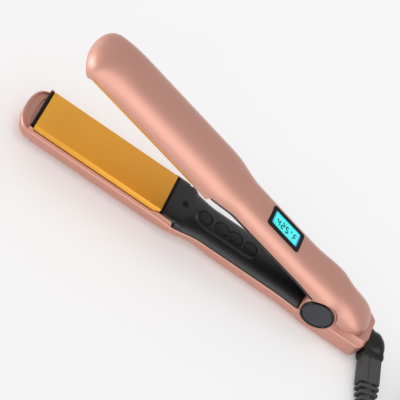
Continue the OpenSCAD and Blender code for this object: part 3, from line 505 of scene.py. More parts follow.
# %% Sizes along an arm
pin_low, pin_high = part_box("hinge_pin")
HINGE = (pin_low + pin_high) / 2 / MM
OPEN = math.radians(16.7)
plate_low, plate_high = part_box("lower_plate")
shell_low, shell_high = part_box("lower_shell")
PLATE_REAR, PLATE_TIP = HINGE.x - plate_high.x / MM, HINGE.x - plate_low.x / MM
TIP, REAR = HINGE.x - shell_low.x / MM, shell_high.x / MM - HINGE.x
END_BAR, COVER_GAP, PAD_L = 1.9, 0.2, 10
BAR_REAR, BAR_TIP = PLATE_REAR - END_BAR, PLATE_TIP + END_BAR
COVER_FRONT = BAR_REAR - COVER_GAP
LIP = COVER_FRONT - PAD_L
WAIST, WAIST_L = PLATE_REAR - 16.5, 34
COVER_END = 13.6
HEAD_W, HANDLE_W, REAR_W, TAIL_W = 38.0, 30.0, 33.0, 29.0
HEAD_D, WAIST_D, GRIP_D, HINGE_D = 19.6, 17.0, 18.0, 20.2
RIM_DROP, EAR_DROP, SEAM_DROP, NOSE_DROP, CREASE_DROP, DECK_DROP = 4.0, 1.9, 6.5, 5.4, 3.4, 0.6
UPPER_NOSE_DROP, TIP_EAR_DROP = 3.3, 1.0
LIP_L, EAR_FALL = 2.6, 5.5
POCKET, RIM_W, WALL, TAIL_L, REAR_R = 17.5, 1.5, 1.6, 32.8, 6.0
ROUND_MORE, HEAD_POWER, HANDLE_POWER = 1.3, 2.55, 2.65
NOSE_L, NOSE_POWER, TAIL_R, TAIL_POWER = 11, 2.4, 16, 2.6
LOWER_RISE, UPPER_RISE, UPPER_RISE_POWER, TAIL_RISE = 20, 27, 2.3, 36
LOWER_POWER, REAR_POWER, DECK_SUNK, TAIL_GAP = 3, 5, 0.05, 0.4
HANDLE_BEAD, HEAD_BEAD = 1.1, 1.8
LEAST_STEP, LAST_ANGLE = 0.06, 88

# Where a width, a drop or a depth goes over into the next. The last two rows count from the hinge rearwards.
STEP_OUT, HEAD_SPAN = (WAIST - WAIST_L / 2, WAIST + WAIST_L / 4), (LIP - 26, LIP + 12)
WAIST_IN, WAIST_OUT = (LIP - 38, LIP - 14), (LIP - 8, LIP + 18)
BEAD_FALL, BEAD_SWELL, NOSE_FALL = (LIP - 2, LIP + 14), (LIP, LIP + 12), (PLATE_TIP - 22, BAR_TIP)
LIP_END, EAR_IN = (PLATE_TIP - 1.2, PLATE_TIP + 0.8), (PLATE_TIP + 0.2, BAR_TIP + 0.6)
EAR_OVER = (BAR_TIP + 1.4, TIP - 2)
WIDENS, SQUARES, DECK_RISES = (-30, -5), (-14, -2), (-13, -10.5)
CREASES, DEEPENS, NARROWS, TAIL_SETS = (0.4 - COVER_END, 5.8 - COVER_END), (-35, -8), (-4, 10), (-6, 8)


def taper(left, length, power):
    return 1.0 if left >= length else max(0.0, 1 - (1 - max(left, 0) / length) ** power) ** (1 / power)


def corner(t, r):
    return 0.0 if t <= 0 else r - math.sqrt(max(0.0, r * r - t * t))


def arm_half(u):
    handle = mix(HANDLE_W / 2, REAR_W / 2, ramp(-u, *WIDENS))
    return mix(handle, HEAD_W / 2, ramp(u, *STEP_OUT))


def nose_half(u):
    return arm_half(u) * taper(TIP - u, NOSE_L, NOSE_POWER)


def bead_edge(u):
    """Drop of the casing's outer bead, which runs from the handle round the nose."""
    return mix(SEAM_DROP, NOSE_DROP, ramp(u, *BEAD_FALL))


def lip_edge(u):
    """Drop of the thin lip inside the bead: high beside the pad and the end bar, lower beside the plate."""
    rim = mix(EAR_DROP, RIM_DROP, ramp(u, PLATE_REAR, PLATE_REAR + EAR_FALL))
    rim = mix(rim, 2 * TIP_EAR_DROP, ramp(u, *LIP_END))
    return mix(SEAM_DROP, rim, ramp(u, LIP, LIP + LIP_L))


def lower_half(u):
    return nose_half(u) - corner(-u - REAR + REAR_R, REAR_R)


def lower_edge(u):
    return mix(bead_edge(u), CREASE_DROP, ramp(-u, *CREASES))


def lower_deck(u):
    return mix(lower_edge(u) - DECK_SUNK, DECK_DROP, ramp(-u, *DECK_RISES))


def lower_power(u):
    return mix(LOWER_POWER, REAR_POWER, ramp(-u, *SQUARES))


def lower_depth(u):
    waist = ramp(u, *WAIST_IN) * (1 - ramp(u, *WAIST_OUT))
    full = mix(HEAD_D, WAIST_D, waist) - corner(-u - REAR + REAR_R, REAR_R) / 3
    return mix(lower_edge(u), full, taper(TIP - u, LOWER_RISE, NOSE_POWER))


def upper_half(u):
    return mix(nose_half(u), TAIL_W / 2, ramp(-u, *NARROWS)) * taper(u + TAIL_L, TAIL_R, TAIL_POWER)


def upper_base(u):
    """Drop at which the upper arm's side begins to curve in."""
    tail = (TAIL_GAP - DECK_DROP) / math.cos(OPEN) + max(0, -u) * math.tan(OPEN)
    front = mix(bead_edge(u), UPPER_NOSE_DROP, ramp(u, *NOSE_FALL))
    return mix(front, tail, ramp(-u, *TAIL_SETS))


def upper_edge(u):
    """The upper rim: it follows the base, and stands lower in an ear at each end of the bar."""
    ear = ramp(u, *EAR_IN) * (1 - ramp(u, *EAR_OVER))
    return mix(upper_base(u), TIP_EAR_DROP, ear)


def head_share(u):
    """How far the upper arm's section has gone over from the handle's to the head's."""
    return ramp(u, *HEAD_SPAN)


def upper_depth(u):
    body = mix(mix(GRIP_D, HINGE_D, ramp(-u, *DEEPENS)), HEAD_D + ROUND_MORE, head_share(u))
    ends = taper(TIP - u, UPPER_RISE, UPPER_RISE_POWER) * taper(u + TAIL_L, TAIL_RISE, NOSE_POWER)
    return mix(upper_base(u), body, ends)


def upper_power(u):
    return mix(HANDLE_POWER, HEAD_POWER, head_share(u))


def on_lower(u, y, drop):
    return Vector((HINGE.x - u, y, HINGE.z - drop)) * MM


def on_upper(u, y, drop):
    return Vector((HINGE.x - u * math.cos(OPEN) + drop * math.sin(OPEN), y,
                   HINGE.z + u * math.sin(OPEN) + drop * math.cos(OPEN))) * MM


def stations(*spans):
    """Places along an arm, from the tip to the rear, out of spans of (from, to, step)."""
    found = []
    for first, last, step in spans:
        count = max(1, round(abs(last - first) / step))
        found += [first + (last - first) * i / count for i in range(count + 1)]
    found.sort(reverse=True)
    kept = found[:1]
    for u in found:
        if kept[-1] - u > LEAST_STEP:
            kept.append(u)
    return kept


def end_round(end, length, steps, towards=1):
    """Spans that crowd together where an end is rounded off."""
    turns = [math.radians(LAST_ANGLE * i / steps) for i in range(steps + 1)]
    at = [end - towards * length * (1 - math.sin(a)) for a in turns]
    return [(a, b, abs(a - b)) for a, b in zip(at, at[1:])]


print("arm: plate from %.1f to %.1f mm, rear at %.1f mm" % (PLATE_REAR, PLATE_TIP, REAR))

# %% [markdown]
# ## The casings
# Each casing is a loft of rounded sections, hollowed by a second loft. Prisms and cylinders cut the sunk
# nose, the hinge gap and the openings, and thin lips and a low ridge are added. The rim of every section is
# rounded a little, so that it catches the light. A sculpted or subdivided box would wander from the CAD, so
# the sections follow its sums at a finer step.

# %% Sections
RING_STEPS, RIM_STEPS, RIM_SHARE = 56, 7, 0.3


def section(u, half, edge, depth, power, rim, base=None):
    """A rounded section from rim to rim, as (u, y, drop). The sides stand straight down to the base."""
    base = edge if base is None else base
    r = min(rim, half * RIM_SHARE, (depth - base) * RIM_SHARE)
    turns = np.linspace(0, math.pi / 2, RIM_STEPS)
    arc = [(half - r + r * math.sin(a), edge + r - r * math.cos(a)) for a in turns]
    skin = []
    for i in range(1, RING_STEPS):
        t = math.pi * i / RING_STEPS
        y = half * math.copysign(abs(math.cos(t)) ** (2 / power), math.cos(t))
        skin.append((y, base + r + (depth - base - r) * math.sin(t) ** (2 / power)))
    whole = arc + skin + [(-y, drop) for y, drop in reversed(arc)]
    return [(u, y, drop) for y, drop in whole]


def bead_round(u):
    """Radius of the rim's outer edge: small along the handle, full beside the plate and round the nose."""
    return mix(HANDLE_BEAD, HEAD_BEAD, ramp(u, *BEAD_SWELL))


def drum(name, radius, y0, y1, sides=96):
    """A cylinder along the hinge's axis."""
    bpy.ops.mesh.primitive_cylinder_add(vertices=sides, radius=radius * MM, depth=(y1 - y0) * MM,
                                        location=(HINGE.x * MM, (y0 + y1) / 2 * MM, HINGE.z * MM),
                                        rotation=(math.pi / 2, 0, 0))
    return still(name)


def still(name):
    """Names the primitive just added and puts its place into its mesh."""
    obj = bpy.context.view_layer.objects.active
    obj.name = name
    pick(obj)
    bpy.ops.object.transform_apply(location=True, rotation=True, scale=True)
    return obj


def prism(name, arm, outline, drop0, drop1):
    """A solid with a plan outline of (u, y), from one drop to the other."""
    rings = [[arm(u, y, drop) for u, y in outline] for drop in (drop0, drop1)]
    return loft(name, rings)


def arc_line(u, y, r, first, last, steps=28):
    turns = [math.radians(a) for a in np.linspace(first, last, steps)]
    return [(u + r * math.cos(a), y + r * math.sin(a)) for a in turns]


def circle(u, y, r, sides=64):
    turns = [2 * math.pi * i / sides for i in range(sides)]
    return [(u + r * math.cos(a), y + r * math.sin(a)) for a in turns]


def oblong(u, y, length, width, r):
    """A rectangle with rounded corners round the place u, y."""
    corners = [(1, 1, 0), (-1, 1, 90), (-1, -1, 180), (1, -1, 270)]
    return [p for a, b, start in corners
            for p in arc_line(u + a * (length / 2 - r), y + b * (width / 2 - r), r, start, start + 90, 8)]


NOSE_RIM, NOSE_SINK, NOSE_CUT_TOP = 1.8, 1.1, -4
RIDGE_U, RIDGE_Y, RIDGE_W, RIDGE_H, RIDGE_ROOT, RIDGE_SOFT = 3.1, 13.0, 1.1, 0.6, 0.4, 0.4
RIDGE_FOOT = BAR_TIP + 0.7
LIP_FOOT, LIP_SOFT, LIP_KNEE, LIP_STEP, ROOM_TOP = 8.5, 0.3, 0.3, 0.8, -5


def mirrored(side):
    """A closed outline out of its near side, given from one end to the other."""
    return side + [(u, -y) for u, y in reversed(side)]


def crescent(reach, spread, steps=40):
    turns = np.linspace(0, math.pi, steps)
    return [(RIDGE_FOOT + reach * math.sin(t), -spread * math.cos(t)) for t in turns]


def sunk_nose(casing, arm):
    """Sinks the nose inside its rim and leaves a curved ridge on the sunk floor."""
    bottom, end = NOSE_DROP + NOSE_SINK, TIP - NOSE_RIM
    places = stations((BAR_TIP, end - 2, 0.5), (end - 2, end - 0.02, 0.1))
    near = [(u, (NOSE_RIM - arm_half(u)) * taper(end - u, NOSE_L - NOSE_RIM, NOSE_POWER))
            for u in reversed(places)]
    cut(casing, prism("nose_cut", arm, mirrored(near), NOSE_CUT_TOP, bottom))
    outline = crescent(RIDGE_U, RIDGE_Y) + crescent(RIDGE_U - RIDGE_W, RIDGE_Y - RIDGE_W)[::-1]
    ridge = prism("ridge", arm, outline, bottom - RIDGE_H, bottom + RIDGE_ROOT)
    return add(casing, bevel(ridge, RIDGE_SOFT, 3))


def pocket_half(u):
    return min(POCKET, arm_half(u) - RIM_W)


def lips(casing, arm):
    """Thin lips inside the bead, with an ear at both ends of each."""
    foot, soft, knee = LIP_FOOT, LIP_SOFT, LIP_SOFT * LIP_KNEE
    spans = [(RIDGE_FOOT, PLATE_TIP - 1.4, 0.25), (PLATE_TIP - 1.4, PLATE_REAR + 6, 6),
             (PLATE_REAR + 6, PLATE_REAR, 0.4), (PLATE_REAR, LIP + 3, 1), (LIP + 3, LIP + 0.1, 0.2)]
    for sign in (-1, 1):
        rings = []
        for u in stations(*spans):
            inner, outer, crest = pocket_half(u), nose_half(u) - LIP_STEP, lip_edge(u)
            profile = [(inner, foot), (inner, crest + soft / 2), (inner + soft / 2, crest),
                       (outer - soft, crest), (outer - knee, crest + knee),
                       (outer, crest + soft), (outer, foot)]
            rings.append([arm(u, sign * y, drop) for y, drop in profile])
        add(casing, loft("lip", rings))
    return casing


END_STEPS, REAR_STEPS = 26, 12
ARM_SPANS = end_round(TIP, NOSE_L, END_STEPS)
ARM_SPANS += [(BAR_TIP + 1.5, PLATE_TIP - 1, 0.25), (TIP - NOSE_L, TIP - 32, 0.8), (PLATE_TIP, LIP, 2.5)]
ROOM_SPANS = [(BAR_TIP + 0.3, TIP - 20, 0.7), (PLATE_TIP, LIP + 3.2, 3), (LIP + 3.2, LIP - 0.6, 0.2)]


def hollow(casing, arm, spans, half_of, edge_of, depth_of, power_of):
    """Cuts out the room inside a casing, one wall inside its skin."""
    rings = []
    for u in stations(*ROOM_SPANS, *spans):
        half = min(POCKET, nose_half(u) - LIP_STEP) if u > LIP else half_of(u) - WALL
        ring = section(u, half, edge_of(u), depth_of(u) - WALL, power_of(u), 0.0)
        rings.append([arm(*p) for p in ring + [(u, -half, ROOM_TOP), (u, half, ROOM_TOP)]])
    return cut(casing, loft("room", rings))


# %% Lower casing
DECK_HALF, DECK_SHARE = 12.0, 0.7
EAR_R, EAR_OUT, EAR_W, SEAT_R, SEAT_REACH = 12.6, 15.0, 4.7, 11.8, 25
GAP_R, GAP_Y = 8.9, 10.3
SWIVEL_DROP, SWIVEL_BORE, BORE_L, GROUND_T = 10.2, 7.66, 20, 0.1
WALL_X = HINGE.x + REAR
lower_spans = ARM_SPANS + [(LIP, 17, 2.0), (17, 8, 0.25), (8, -REAR + REAR_R, 1.5)]
lower_spans += end_round(-REAR, REAR_R, REAR_STEPS, -1)
rings = []
for u in stations(*lower_spans):
    half = lower_half(u)
    deck = min(DECK_HALF, DECK_SHARE * half)
    ring = section(u, half, lower_edge(u), lower_depth(u), lower_power(u), bead_round(u))
    rings.append([on_lower(*p) for p in ring + [(u, -deck, lower_deck(u)), (u, deck, lower_deck(u))]])
lower_casing = loft("lower_casing", rings)
hollow(lower_casing, on_lower, [(LIP, COVER_END - COVER_GAP, 2)],
       arm_half, lower_edge, lower_depth, lower_power)
lips(sunk_nose(lower_casing, on_lower), on_lower)
cut(lower_casing, drum("barrel_gap", GAP_R, -GAP_Y, GAP_Y))
for y in (-EAR_OUT, GAP_Y):
    add(lower_casing, bevel(drum("ear", EAR_R, y, y + EAR_W), 0.3))
for y in (-EAR_OUT - SEAT_REACH, EAR_OUT):
    cut(lower_casing, drum("badge_seat", SEAT_R, y, y + SEAT_REACH))
bpy.ops.mesh.primitive_cylinder_add(vertices=64, radius=SWIVEL_BORE * MM, depth=BORE_L * MM,
                                    location=(WALL_X * MM, 0, (HINGE.z - SWIVEL_DROP) * MM),
                                    rotation=(0, math.pi / 2, 0))
cut(lower_casing, still("swivel_hole"))
bpy.ops.mesh.primitive_cube_add(size=1, location=(0, 0, -GROUND_T / 2))
bpy.context.view_layer.objects.active.scale = (1, 1, GROUND_T)
cut(lower_casing, still("under_cut"))
dress(smooth(lower_casing), rose, "rose_shell", "lower_shell")

# %% Upper casing
BARREL_R, BARREL_Y, BARREL_END = 8.5, 9.9, 4.0
EAR_ROOM_R, EAR_ROOM_W = 13.0, 30.1
DISPLAY, FRAME_L, FRAME_W, FRAME_R, FRAME_GAP, HOLE = 59.4, 29.6, 15.6, 1.8, 0.3, (5, 40)
upper_spans = ARM_SPANS + [(LIP, 16, 2.0), (16, -17, 0.8)] + end_round(-TAIL_L, TAIL_R, END_STEPS, -1)
rings = []
for u in stations(*upper_spans):
    ring = section(u, upper_half(u), upper_edge(u), upper_depth(u), upper_power(u), bead_round(u),
                   upper_base(u))
    rings.append([on_upper(*p) for p in ring])
upper_casing = loft("upper_casing", rings)
hollow(upper_casing, on_upper, [(LIP, 16, 2), (16, -25, 1.5)],
       upper_half, upper_base, upper_depth, upper_power)
lips(sunk_nose(upper_casing, on_upper), on_upper)
for y in (-BARREL_Y - EAR_ROOM_W, BARREL_Y):
    cut(upper_casing, drum("ear_gap", EAR_ROOM_R, y, y + EAR_ROOM_W))
add(upper_casing, drum("barrel", BARREL_R, -BARREL_Y, BARREL_END))
frame_hole = oblong(DISPLAY, 0, FRAME_L + FRAME_GAP, FRAME_W + FRAME_GAP, FRAME_R + FRAME_GAP / 2)
cut(upper_casing, prism("display_hole", on_upper, frame_hole, *HOLE))
dress(smooth(upper_casing), rose, "rose_shell", "upper_shell")

# %% [markdown]
# ## The inner covers
# A black cover closes each handle from the inside. It starts as a flat pad beside the plate and goes over
# into a crowned grip. On the upper arm the crown runs further towards the tip, so that the pad's corner
# stays hidden behind the rim. The lower cover has holes for the controls and a raised outline round them.

# %% Covers
POWER, ROCKER, MODE, SCREW = PLATE_REAR - 28.5, PLATE_REAR - 46.8, PLATE_REAR - 64.0, LIP - 0.4
SCREW_REAR = COVER_END + 7
CROWN, COVER_T, COVER_INSET, PAD_RISE, GRIP_RISE = 0.8, 1.8, 0.3, 1.6, 0.1
CROWN_POWER, PAD_POWER, UPPER_FLAT = 2.2, 7, LIP + 8
BOSS_R, BOSS, SCREW_R, SCREW_HOLE = 3.2, (CROWN + 0.25, CROWN + 4.3), 2.4, (-3, CROWN + 1.6)
SKIN_SKIRT, ROOM_SKIRT, CREST_MORE = 0.01, 3, 0.1
POWER_R, MODE_R, KEY_GAP, THROUGH = 5.0, 4.6, 0.42, (-3, 6)
ROCKER_R, ROCKER_WAIST, ROCKER_PITCH = 5, 2.2, 5.5
OUTLINE_REACH, OUTLINE_IN, OUTLINE_W, OUTLINE_H, RIB_ROOT = (7.6, 6.5), 0.8, 0.44, 0.2, 0.6


def cover_half(u):
    return pocket_half(u) - COVER_GAP if u > LIP - COVER_GAP else arm_half(u) - COVER_INSET


def cover_base(u):
    return SEAM_DROP - (PAD_RISE if u > LIP - COVER_GAP else GRIP_RISE)


def cover_power(u, flat=LIP):
    """Roundness of the cover's section, which turns into a flat pad about the station `flat`."""
    return mix(CROWN_POWER, PAD_POWER, ramp(u, flat - 7, flat + 1))


def cover_ring(u, inset, crown, skirt, flat):
    power, half, base = cover_power(u, flat), cover_half(u) - inset, cover_base(u)
    ring = [(u, -half, base + skirt)]
    for i in range(RING_STEPS, -1, -1):
        t = math.pi * i / RING_STEPS
        y = half * math.copysign(abs(math.cos(t)) ** (2 / power), math.cos(t))
        ring.append((u, y, base - (base - crown) * math.sin(t) ** (2 / power)))
    return ring + [(u, half, base + skirt)]


def sides_of(line, width):
    """The two edges of a strip along a line of (u, y) points."""
    line, left, far_side = [Vector(p) for p in line], [], []
    for i, p in enumerate(line):
        way = (line[min(i + 1, len(line) - 1)] - line[max(i - 1, 0)]).normalized()
        across = Vector((-way.y, way.x)) * width / 2
        left.append(tuple(p + across))
        far_side.append(tuple(p - across))
    return left, far_side


def cover_top(u, y):
    """Drop of the cover's skin above a place."""
    power, half, base = cover_power(u), cover_half(u), cover_base(u)
    return base - (base - CROWN) * (1 - min(1, abs(y) / half) ** power) ** (1 / power)


def rib(name, line, width, height):
    """A low rib with sloping sides that follows the lower cover's skin."""
    feet, crests = sides_of(line, width), sides_of(line, width - 2 * height + CREST_MORE)
    rings = []
    for a, b, c, d in zip(feet[0], crests[0], crests[1], feet[1]):
        ring = [(*a, cover_top(*a) + RIB_ROOT), (*a, cover_top(*a)), (*b, cover_top(*b) - height),
                (*c, cover_top(*c) - height), (*d, cover_top(*d)), (*d, cover_top(*d) + RIB_ROOT)]
        rings.append([on_lower(*p) for p in ring])
    return loft(name, rings)


def rocker_plan(grow, sides=40):
    r = ROCKER_R + grow
    a = math.asin((ROCKER_WAIST + grow) / r)
    turns = np.linspace(a - math.pi, math.pi - a, sides)
    lobe = [(ROCKER_PITCH + r * math.cos(t), r * math.sin(t)) for t in turns]
    return [(ROCKER + u, y) for u, y in lobe] + [(ROCKER - u, -y) for u, y in lobe]


def cover(name, arm, flat=LIP):
    places = stations((COVER_FRONT, LIP + 0.4, 1.0), (LIP + 0.4, LIP - 0.8, 0.2), (LIP - 0.8, LIP - 8, 0.6),
                      (LIP - 8, COVER_END, 1.6))
    skin = loft(name, [[arm(*p) for p in cover_ring(u, 0, CROWN, SKIN_SKIRT, flat)] for u in places])
    places = stations((COVER_FRONT - COVER_T, LIP + 0.9, 1.0), (LIP + 0.9, LIP - 1.3, 0.55),
                      (LIP - 1.3, LIP - 8, 0.8), (LIP - 8, COVER_END + COVER_T, 2))
    rings = [[arm(*p) for p in cover_ring(u, COVER_T, CROWN + COVER_T, ROOM_SKIRT, flat)] for u in places]
    cut(skin, loft("inner", rings))
    for u in (SCREW, SCREW_REAR):
        add(skin, prism("boss", arm, circle(u, 0, BOSS_R), *BOSS))
        cut(skin, prism("screw_hole", arm, circle(u, 0, SCREW_R), *SCREW_HOLE))
    return skin


lower_cover = cover("lower_cover_skin", on_lower)
for reach in OUTLINE_REACH:
    way_round = arc_line(POWER - OUTLINE_IN, 0, reach, 70, -90)
    way_round += arc_line(MODE + OUTLINE_IN, 0, reach, -90, -190)
    add(lower_cover, rib("outline", way_round, OUTLINE_W, OUTLINE_H))
cut(lower_cover, prism("power_hole", on_lower, circle(POWER, 0, POWER_R + KEY_GAP), *THROUGH))
cut(lower_cover, prism("mode_hole", on_lower, circle(MODE, 0, MODE_R + KEY_GAP), *THROUGH))
cut(lower_cover, prism("rocker_hole", on_lower, rocker_plan(KEY_GAP), *THROUGH))
dress(smooth(lower_cover), satin_black, "black_cover", "lower_cover")
upper_cover = cover("upper_cover_skin", on_upper, UPPER_FLAT)
dress(smooth(upper_cover), satin_black, "black_cover", "upper_cover")

# %% [markdown]
# ## The controls
# Two round buttons and a figure-eight rocker lie nearly flush in the cover. Each is a prism with soft edges.
# The power button has a faint mark, an arc and a bar, as thin raised ribbons.


# %% Controls
def ribbon(name, arm, line, width, drop0, drop1):
    """A thin raised strip along a line of (u, y) points."""
    left, far_side = sides_of(line, width)
    return prism(name, arm, left + far_side[::-1], drop0, drop1)


def join(name, *objects):
    pick(objects[0])
    for obj in objects:
        obj.select_set(True)
    bpy.ops.object.join()
    objects[0].name = name
    return objects[0]


def marked(cap, *marks):
    """Joins a cap and its marks into one piece, with the marks in their own finish."""
    cap.data.materials.append(button_black)
    for mark in marks:
        mark.data.materials.append(mark_grey)
    return join(cap.name, cap, *marks) if marks else cap


def control(cap, node, *marks):
    return dress(smooth(marked(smooth(bevel(cap, 0.35, 4)), *marks)), None, "black_cover", node)


CAP, CAP_FOOT = CROWN + 0.25, CROWN + 0.25 + 4
MARK, MARK_W, MARK_R = (CAP - 0.08, CAP + 0.1), 0.4, 2.1
control(prism("power_key", on_lower, circle(POWER, 0, POWER_R), CAP, CAP_FOOT), "power_button",
        ribbon("arc", on_lower, arc_line(POWER, 0, MARK_R, 40, 320), MARK_W, *MARK),
        ribbon("bar", on_lower, [(POWER + 0.6, 0), (POWER + 2.7, 0)], MARK_W, *MARK))
control(prism("heat_rocker", on_lower, rocker_plan(0.0), CAP, CAP_FOOT), "temperature_rocker")
control(prism("mode_key", on_lower, circle(MODE, 0, MODE_R), CAP, CAP_FOOT), "mode_button")

# %% [markdown]
# ## Plates, carriers and small metal
# These solids are plain and exact already. A merged copy of each gets rounded edges, because a real edge is
# never a perfect corner and its thin highlight is what makes it look solid.

# %% Plates and carriers
for which in ("lower", "upper"):
    hot_plate = softened(which + "_hot_plate", which + "_plate", 0.3, segments=3, angle=15)
    dress(hot_plate, gold, "gold_plate", which + "_plate")
    carrier = softened(which + "_carrier", which + "_plate_holder", 0.25)
    dress(carrier, bar_black, "black_cover", which + "_plate_holder")
    screws = softened(which + "_cover_screws", which + "_screws", 0.12, angle=40)
    dress(screws, dark_steel, "steel", which + "_screws")

# %% [markdown]
# ## The display
# A bezel is let into the upper casing. Behind a thin clear window lies a lit panel that fades to deep blue
# at its edges. Its figures are bars, as on any such display, and read from the tip towards the hinge.

# %% Display
PANEL_L, PANEL_W, PANEL_AT, PANEL_DROP = 24.4, 10.7, (-0.2, 0.4), 18
WINDOW_L, WINDOW_W, WINDOW_R, GLASS_GAP = 24.4, 11.0, 1.3, 0.2
BEZEL_PROUD, BEZEL_STEP, BEZEL_FOOT, BEZEL_CUT = 0.2, 1.0, 1.5, 4
GLASS_FROM, GLASS_TO = 0.4, 0.85


def lit_panel():
    f = Finish("lit_panel", Roughness=0.4, Emission_Strength=1.0)
    middle = on_upper(DISPLAY + PANEL_AT[0], PANEL_AT[1], PANEL_DROP)
    where = f.node("ShaderNodeMapping", {"vector_type": "TEXTURE"},
                   {"Vector": f.place, "Location": middle, "Rotation": (0, OPEN, 0)})
    split = f.node("ShaderNodeSeparateXYZ", {}, {0: where})
    along = abs(split) / (PANEL_L / 2 * MM)
    across = abs(Socket(f, split.socket.node.outputs[1])) / (PANEL_W / 2 * MM)
    edge = f.node("ShaderNodeMath", {"operation": "MAXIMUM"}, {0: along, 1: across})
    share = f.node("ShaderNodeMapRange", {"interpolation_type": "SMOOTHSTEP"},
                   {"Value": edge + f.noise(300) * 0.06, "From Min": 0.86, "From Max": 1.03})
    f.set(Emission_Color=f.blend(share, tint(58, 245, 246), tint(12, 70, 190)), Base_Color=tint(10, 30, 40))
    return f.material


def clear_window():
    f = Finish("clear_window", Transmission_Weight=1.0, IOR=1.3, Base_Color=(1, 1, 1, 1))
    f.set(Roughness=0.01 + f.noise(400) * 0.03)
    return f.material


PANEL_TOP = upper_depth(DISPLAY) + BEZEL_PROUD - BEZEL_STEP
dress(softened("panel", "display_panel", 0.1), lit_panel(), "display_panel", "display_panel")
outer = oblong(DISPLAY, 0, FRAME_L, FRAME_W, FRAME_R)
bezel = prism("bezel", on_upper, outer, PANEL_TOP - BEZEL_FOOT, PANEL_TOP + BEZEL_STEP)
opening = oblong(DISPLAY, 0, WINDOW_L, WINDOW_W, WINDOW_R)
cut(bezel, prism("bezel_in", on_upper, opening, PANEL_TOP - BEZEL_CUT, PANEL_TOP + BEZEL_CUT))
dress(smooth(bevel(bezel, 0.25, 3)), bezel_black, "black_cover", "display_frame")
pane = oblong(DISPLAY, 0, WINDOW_L - GLASS_GAP, WINDOW_W - GLASS_GAP, WINDOW_R - GLASS_GAP / 2)
glass = prism("glass", on_upper, pane, PANEL_TOP + GLASS_FROM, PANEL_TOP + GLASS_TO)
dress(smooth(bevel(glass, 0.1)), clear_window(), "display_window", "display_window")

BARS = {"4": "bcfg", "2": "abdeg", "5": "acdfg", "F": "aefg"}
DIGIT_W, DIGIT_H, BAR_W, BAR_GAP, PITCH = 2.2, 4.1, 0.95, 0.06, 3.95
FIRST_DIGIT, LETTER_AT, DEGREE_AT, DEGREE_UP, DEGREE_R, DEGREE_W = 7.9, -7.4, -4.8, 1.5, 0.5, 0.45
INK = (PANEL_TOP - 0.02, PANEL_TOP + 0.05)


def bars_of(sign, u, y):
    """The dark bars of one sign whose lower left corner is at u, y. Reading runs towards the hinge."""
    w, h, b, gap = DIGIT_W, DIGIT_H, BAR_W, BAR_GAP
    ends = {"a": ((0, h), (w, h)), "g": ((0, h / 2), (w, h / 2)), "d": ((0, 0), (w, 0)),
            "f": ((0, h), (0, h / 2)), "b": ((w, h), (w, h / 2)),
            "e": ((0, h / 2), (0, 0)), "c": ((w, h / 2), (w, 0))}
    made = []
    for key in BARS[sign]:
        (x0, y0), (x1, y1) = ends[key]
        way = Vector((x1 - x0, y1 - y0)).normalized()
        a, c = Vector((x0, y0)) + way * gap, Vector((x1, y1)) - way * gap
        n = Vector((-way.y, way.x)) * b / 2
        six = [a, a + way * b / 2 + n, c - way * b / 2 + n, c, c - way * b / 2 - n, a + way * b / 2 - n]
        made.append(prism("bar", on_upper, [(u - p.x, y + p.y) for p in six], *INK))
    return made


signs = []
for place, sign in enumerate("425"):
    signs += bars_of(sign, DISPLAY + FIRST_DIGIT - place * PITCH, -DIGIT_H / 2)
signs += bars_of("F", DISPLAY + LETTER_AT, -DIGIT_H / 2)
degree = arc_line(DISPLAY + DEGREE_AT, DEGREE_UP, DEGREE_R, 0, 360, 24)
signs.append(ribbon("degree", on_upper, degree, DEGREE_W, *INK))
figures = join("figures", *signs)
ink = plastic("figure_ink", tint(4, 12, 16), tint(7, 17, 22), 0.6, 3000, 0.02, shine=0.1)
dress(figures, ink, "display_panel", body="upper_arm")

# %% [markdown]
# ## The hinge badges
# A round cap with a black ring closes each end of the hinge. The cap is bare slate metal with a turned
# finish, so its noise runs round its middle.


# %% Hinge badges
def turned_slate():
    f = Finish("turned_slate", Metallic=0.6)
    where = f.node("ShaderNodeMapping", {"vector_type": "TEXTURE"},
                   {"Vector": f.place, "Location": HINGE * MM})
    split = f.node("ShaderNodeSeparateXYZ", {}, {0: where})
    x, z = split, Socket(f, split.socket.node.outputs[2])
    radius = f.node("ShaderNodeMath", {"operation": "SQRT"}, {0: x * x + z * z})
    groove = f.node("ShaderNodeTexNoise", {"noise_dimensions": "1D"},
                    {"W": radius, "Scale": 2200.0, "Detail": 3.0})
    f.set(Base_Color=f.blend(groove, tint(58, 61, 68), tint(76, 79, 86)), Roughness=0.3 + groove * 0.2)
    f.set(Normal=f.bump(groove, 0.05))
    return f.material


slate = turned_slate()
for where in ("near", "far"):
    badge = softened("badge_" + where, "hinge_cap_" + where, 0.35, segments=3, angle=25)
    dress(badge, slate, "hinge_badge", "hinge_cap_" + where)
dress(softened("badge_rings", "hinge_cap_rings", 0.35, 3), hood_black, "black_cover", "hinge_cap_rings")

# %% [markdown]
# ## The swivel and the strain relief
# The cord leaves through a black hood that turns in the rear wall. The hood is rounded all over by a fine
# remesh and a smoothing, its outer part swells a little towards a ball, and a short skirt runs out round the
# strain relief. The strain relief's square grip and its row of ribs keep the cord from kinking.

# %% Swivel
HOOD_SWELL, SWELL_FROM, SWELL_FULL = 0.6, WALL_X + 0.5, WALL_X + 4
BOOT_L, GRIP_H, GRIP_W, SKIRT_R = 48.90, 10.0, 14.4, 2.4
SKIRT = [(-4, 0), (-1, 1.0), (0.4, 1.2), (3.4, 0.7)]


def rounded_all(obj, voxel, rounds):
    """Rounds a whole piece by a fine remesh and a smoothing."""
    modify(obj, "REMESH", mode="VOXEL", voxel_size=voxel * MM)
    return modify(obj, "SMOOTH", factor=0.5, iterations=rounds)


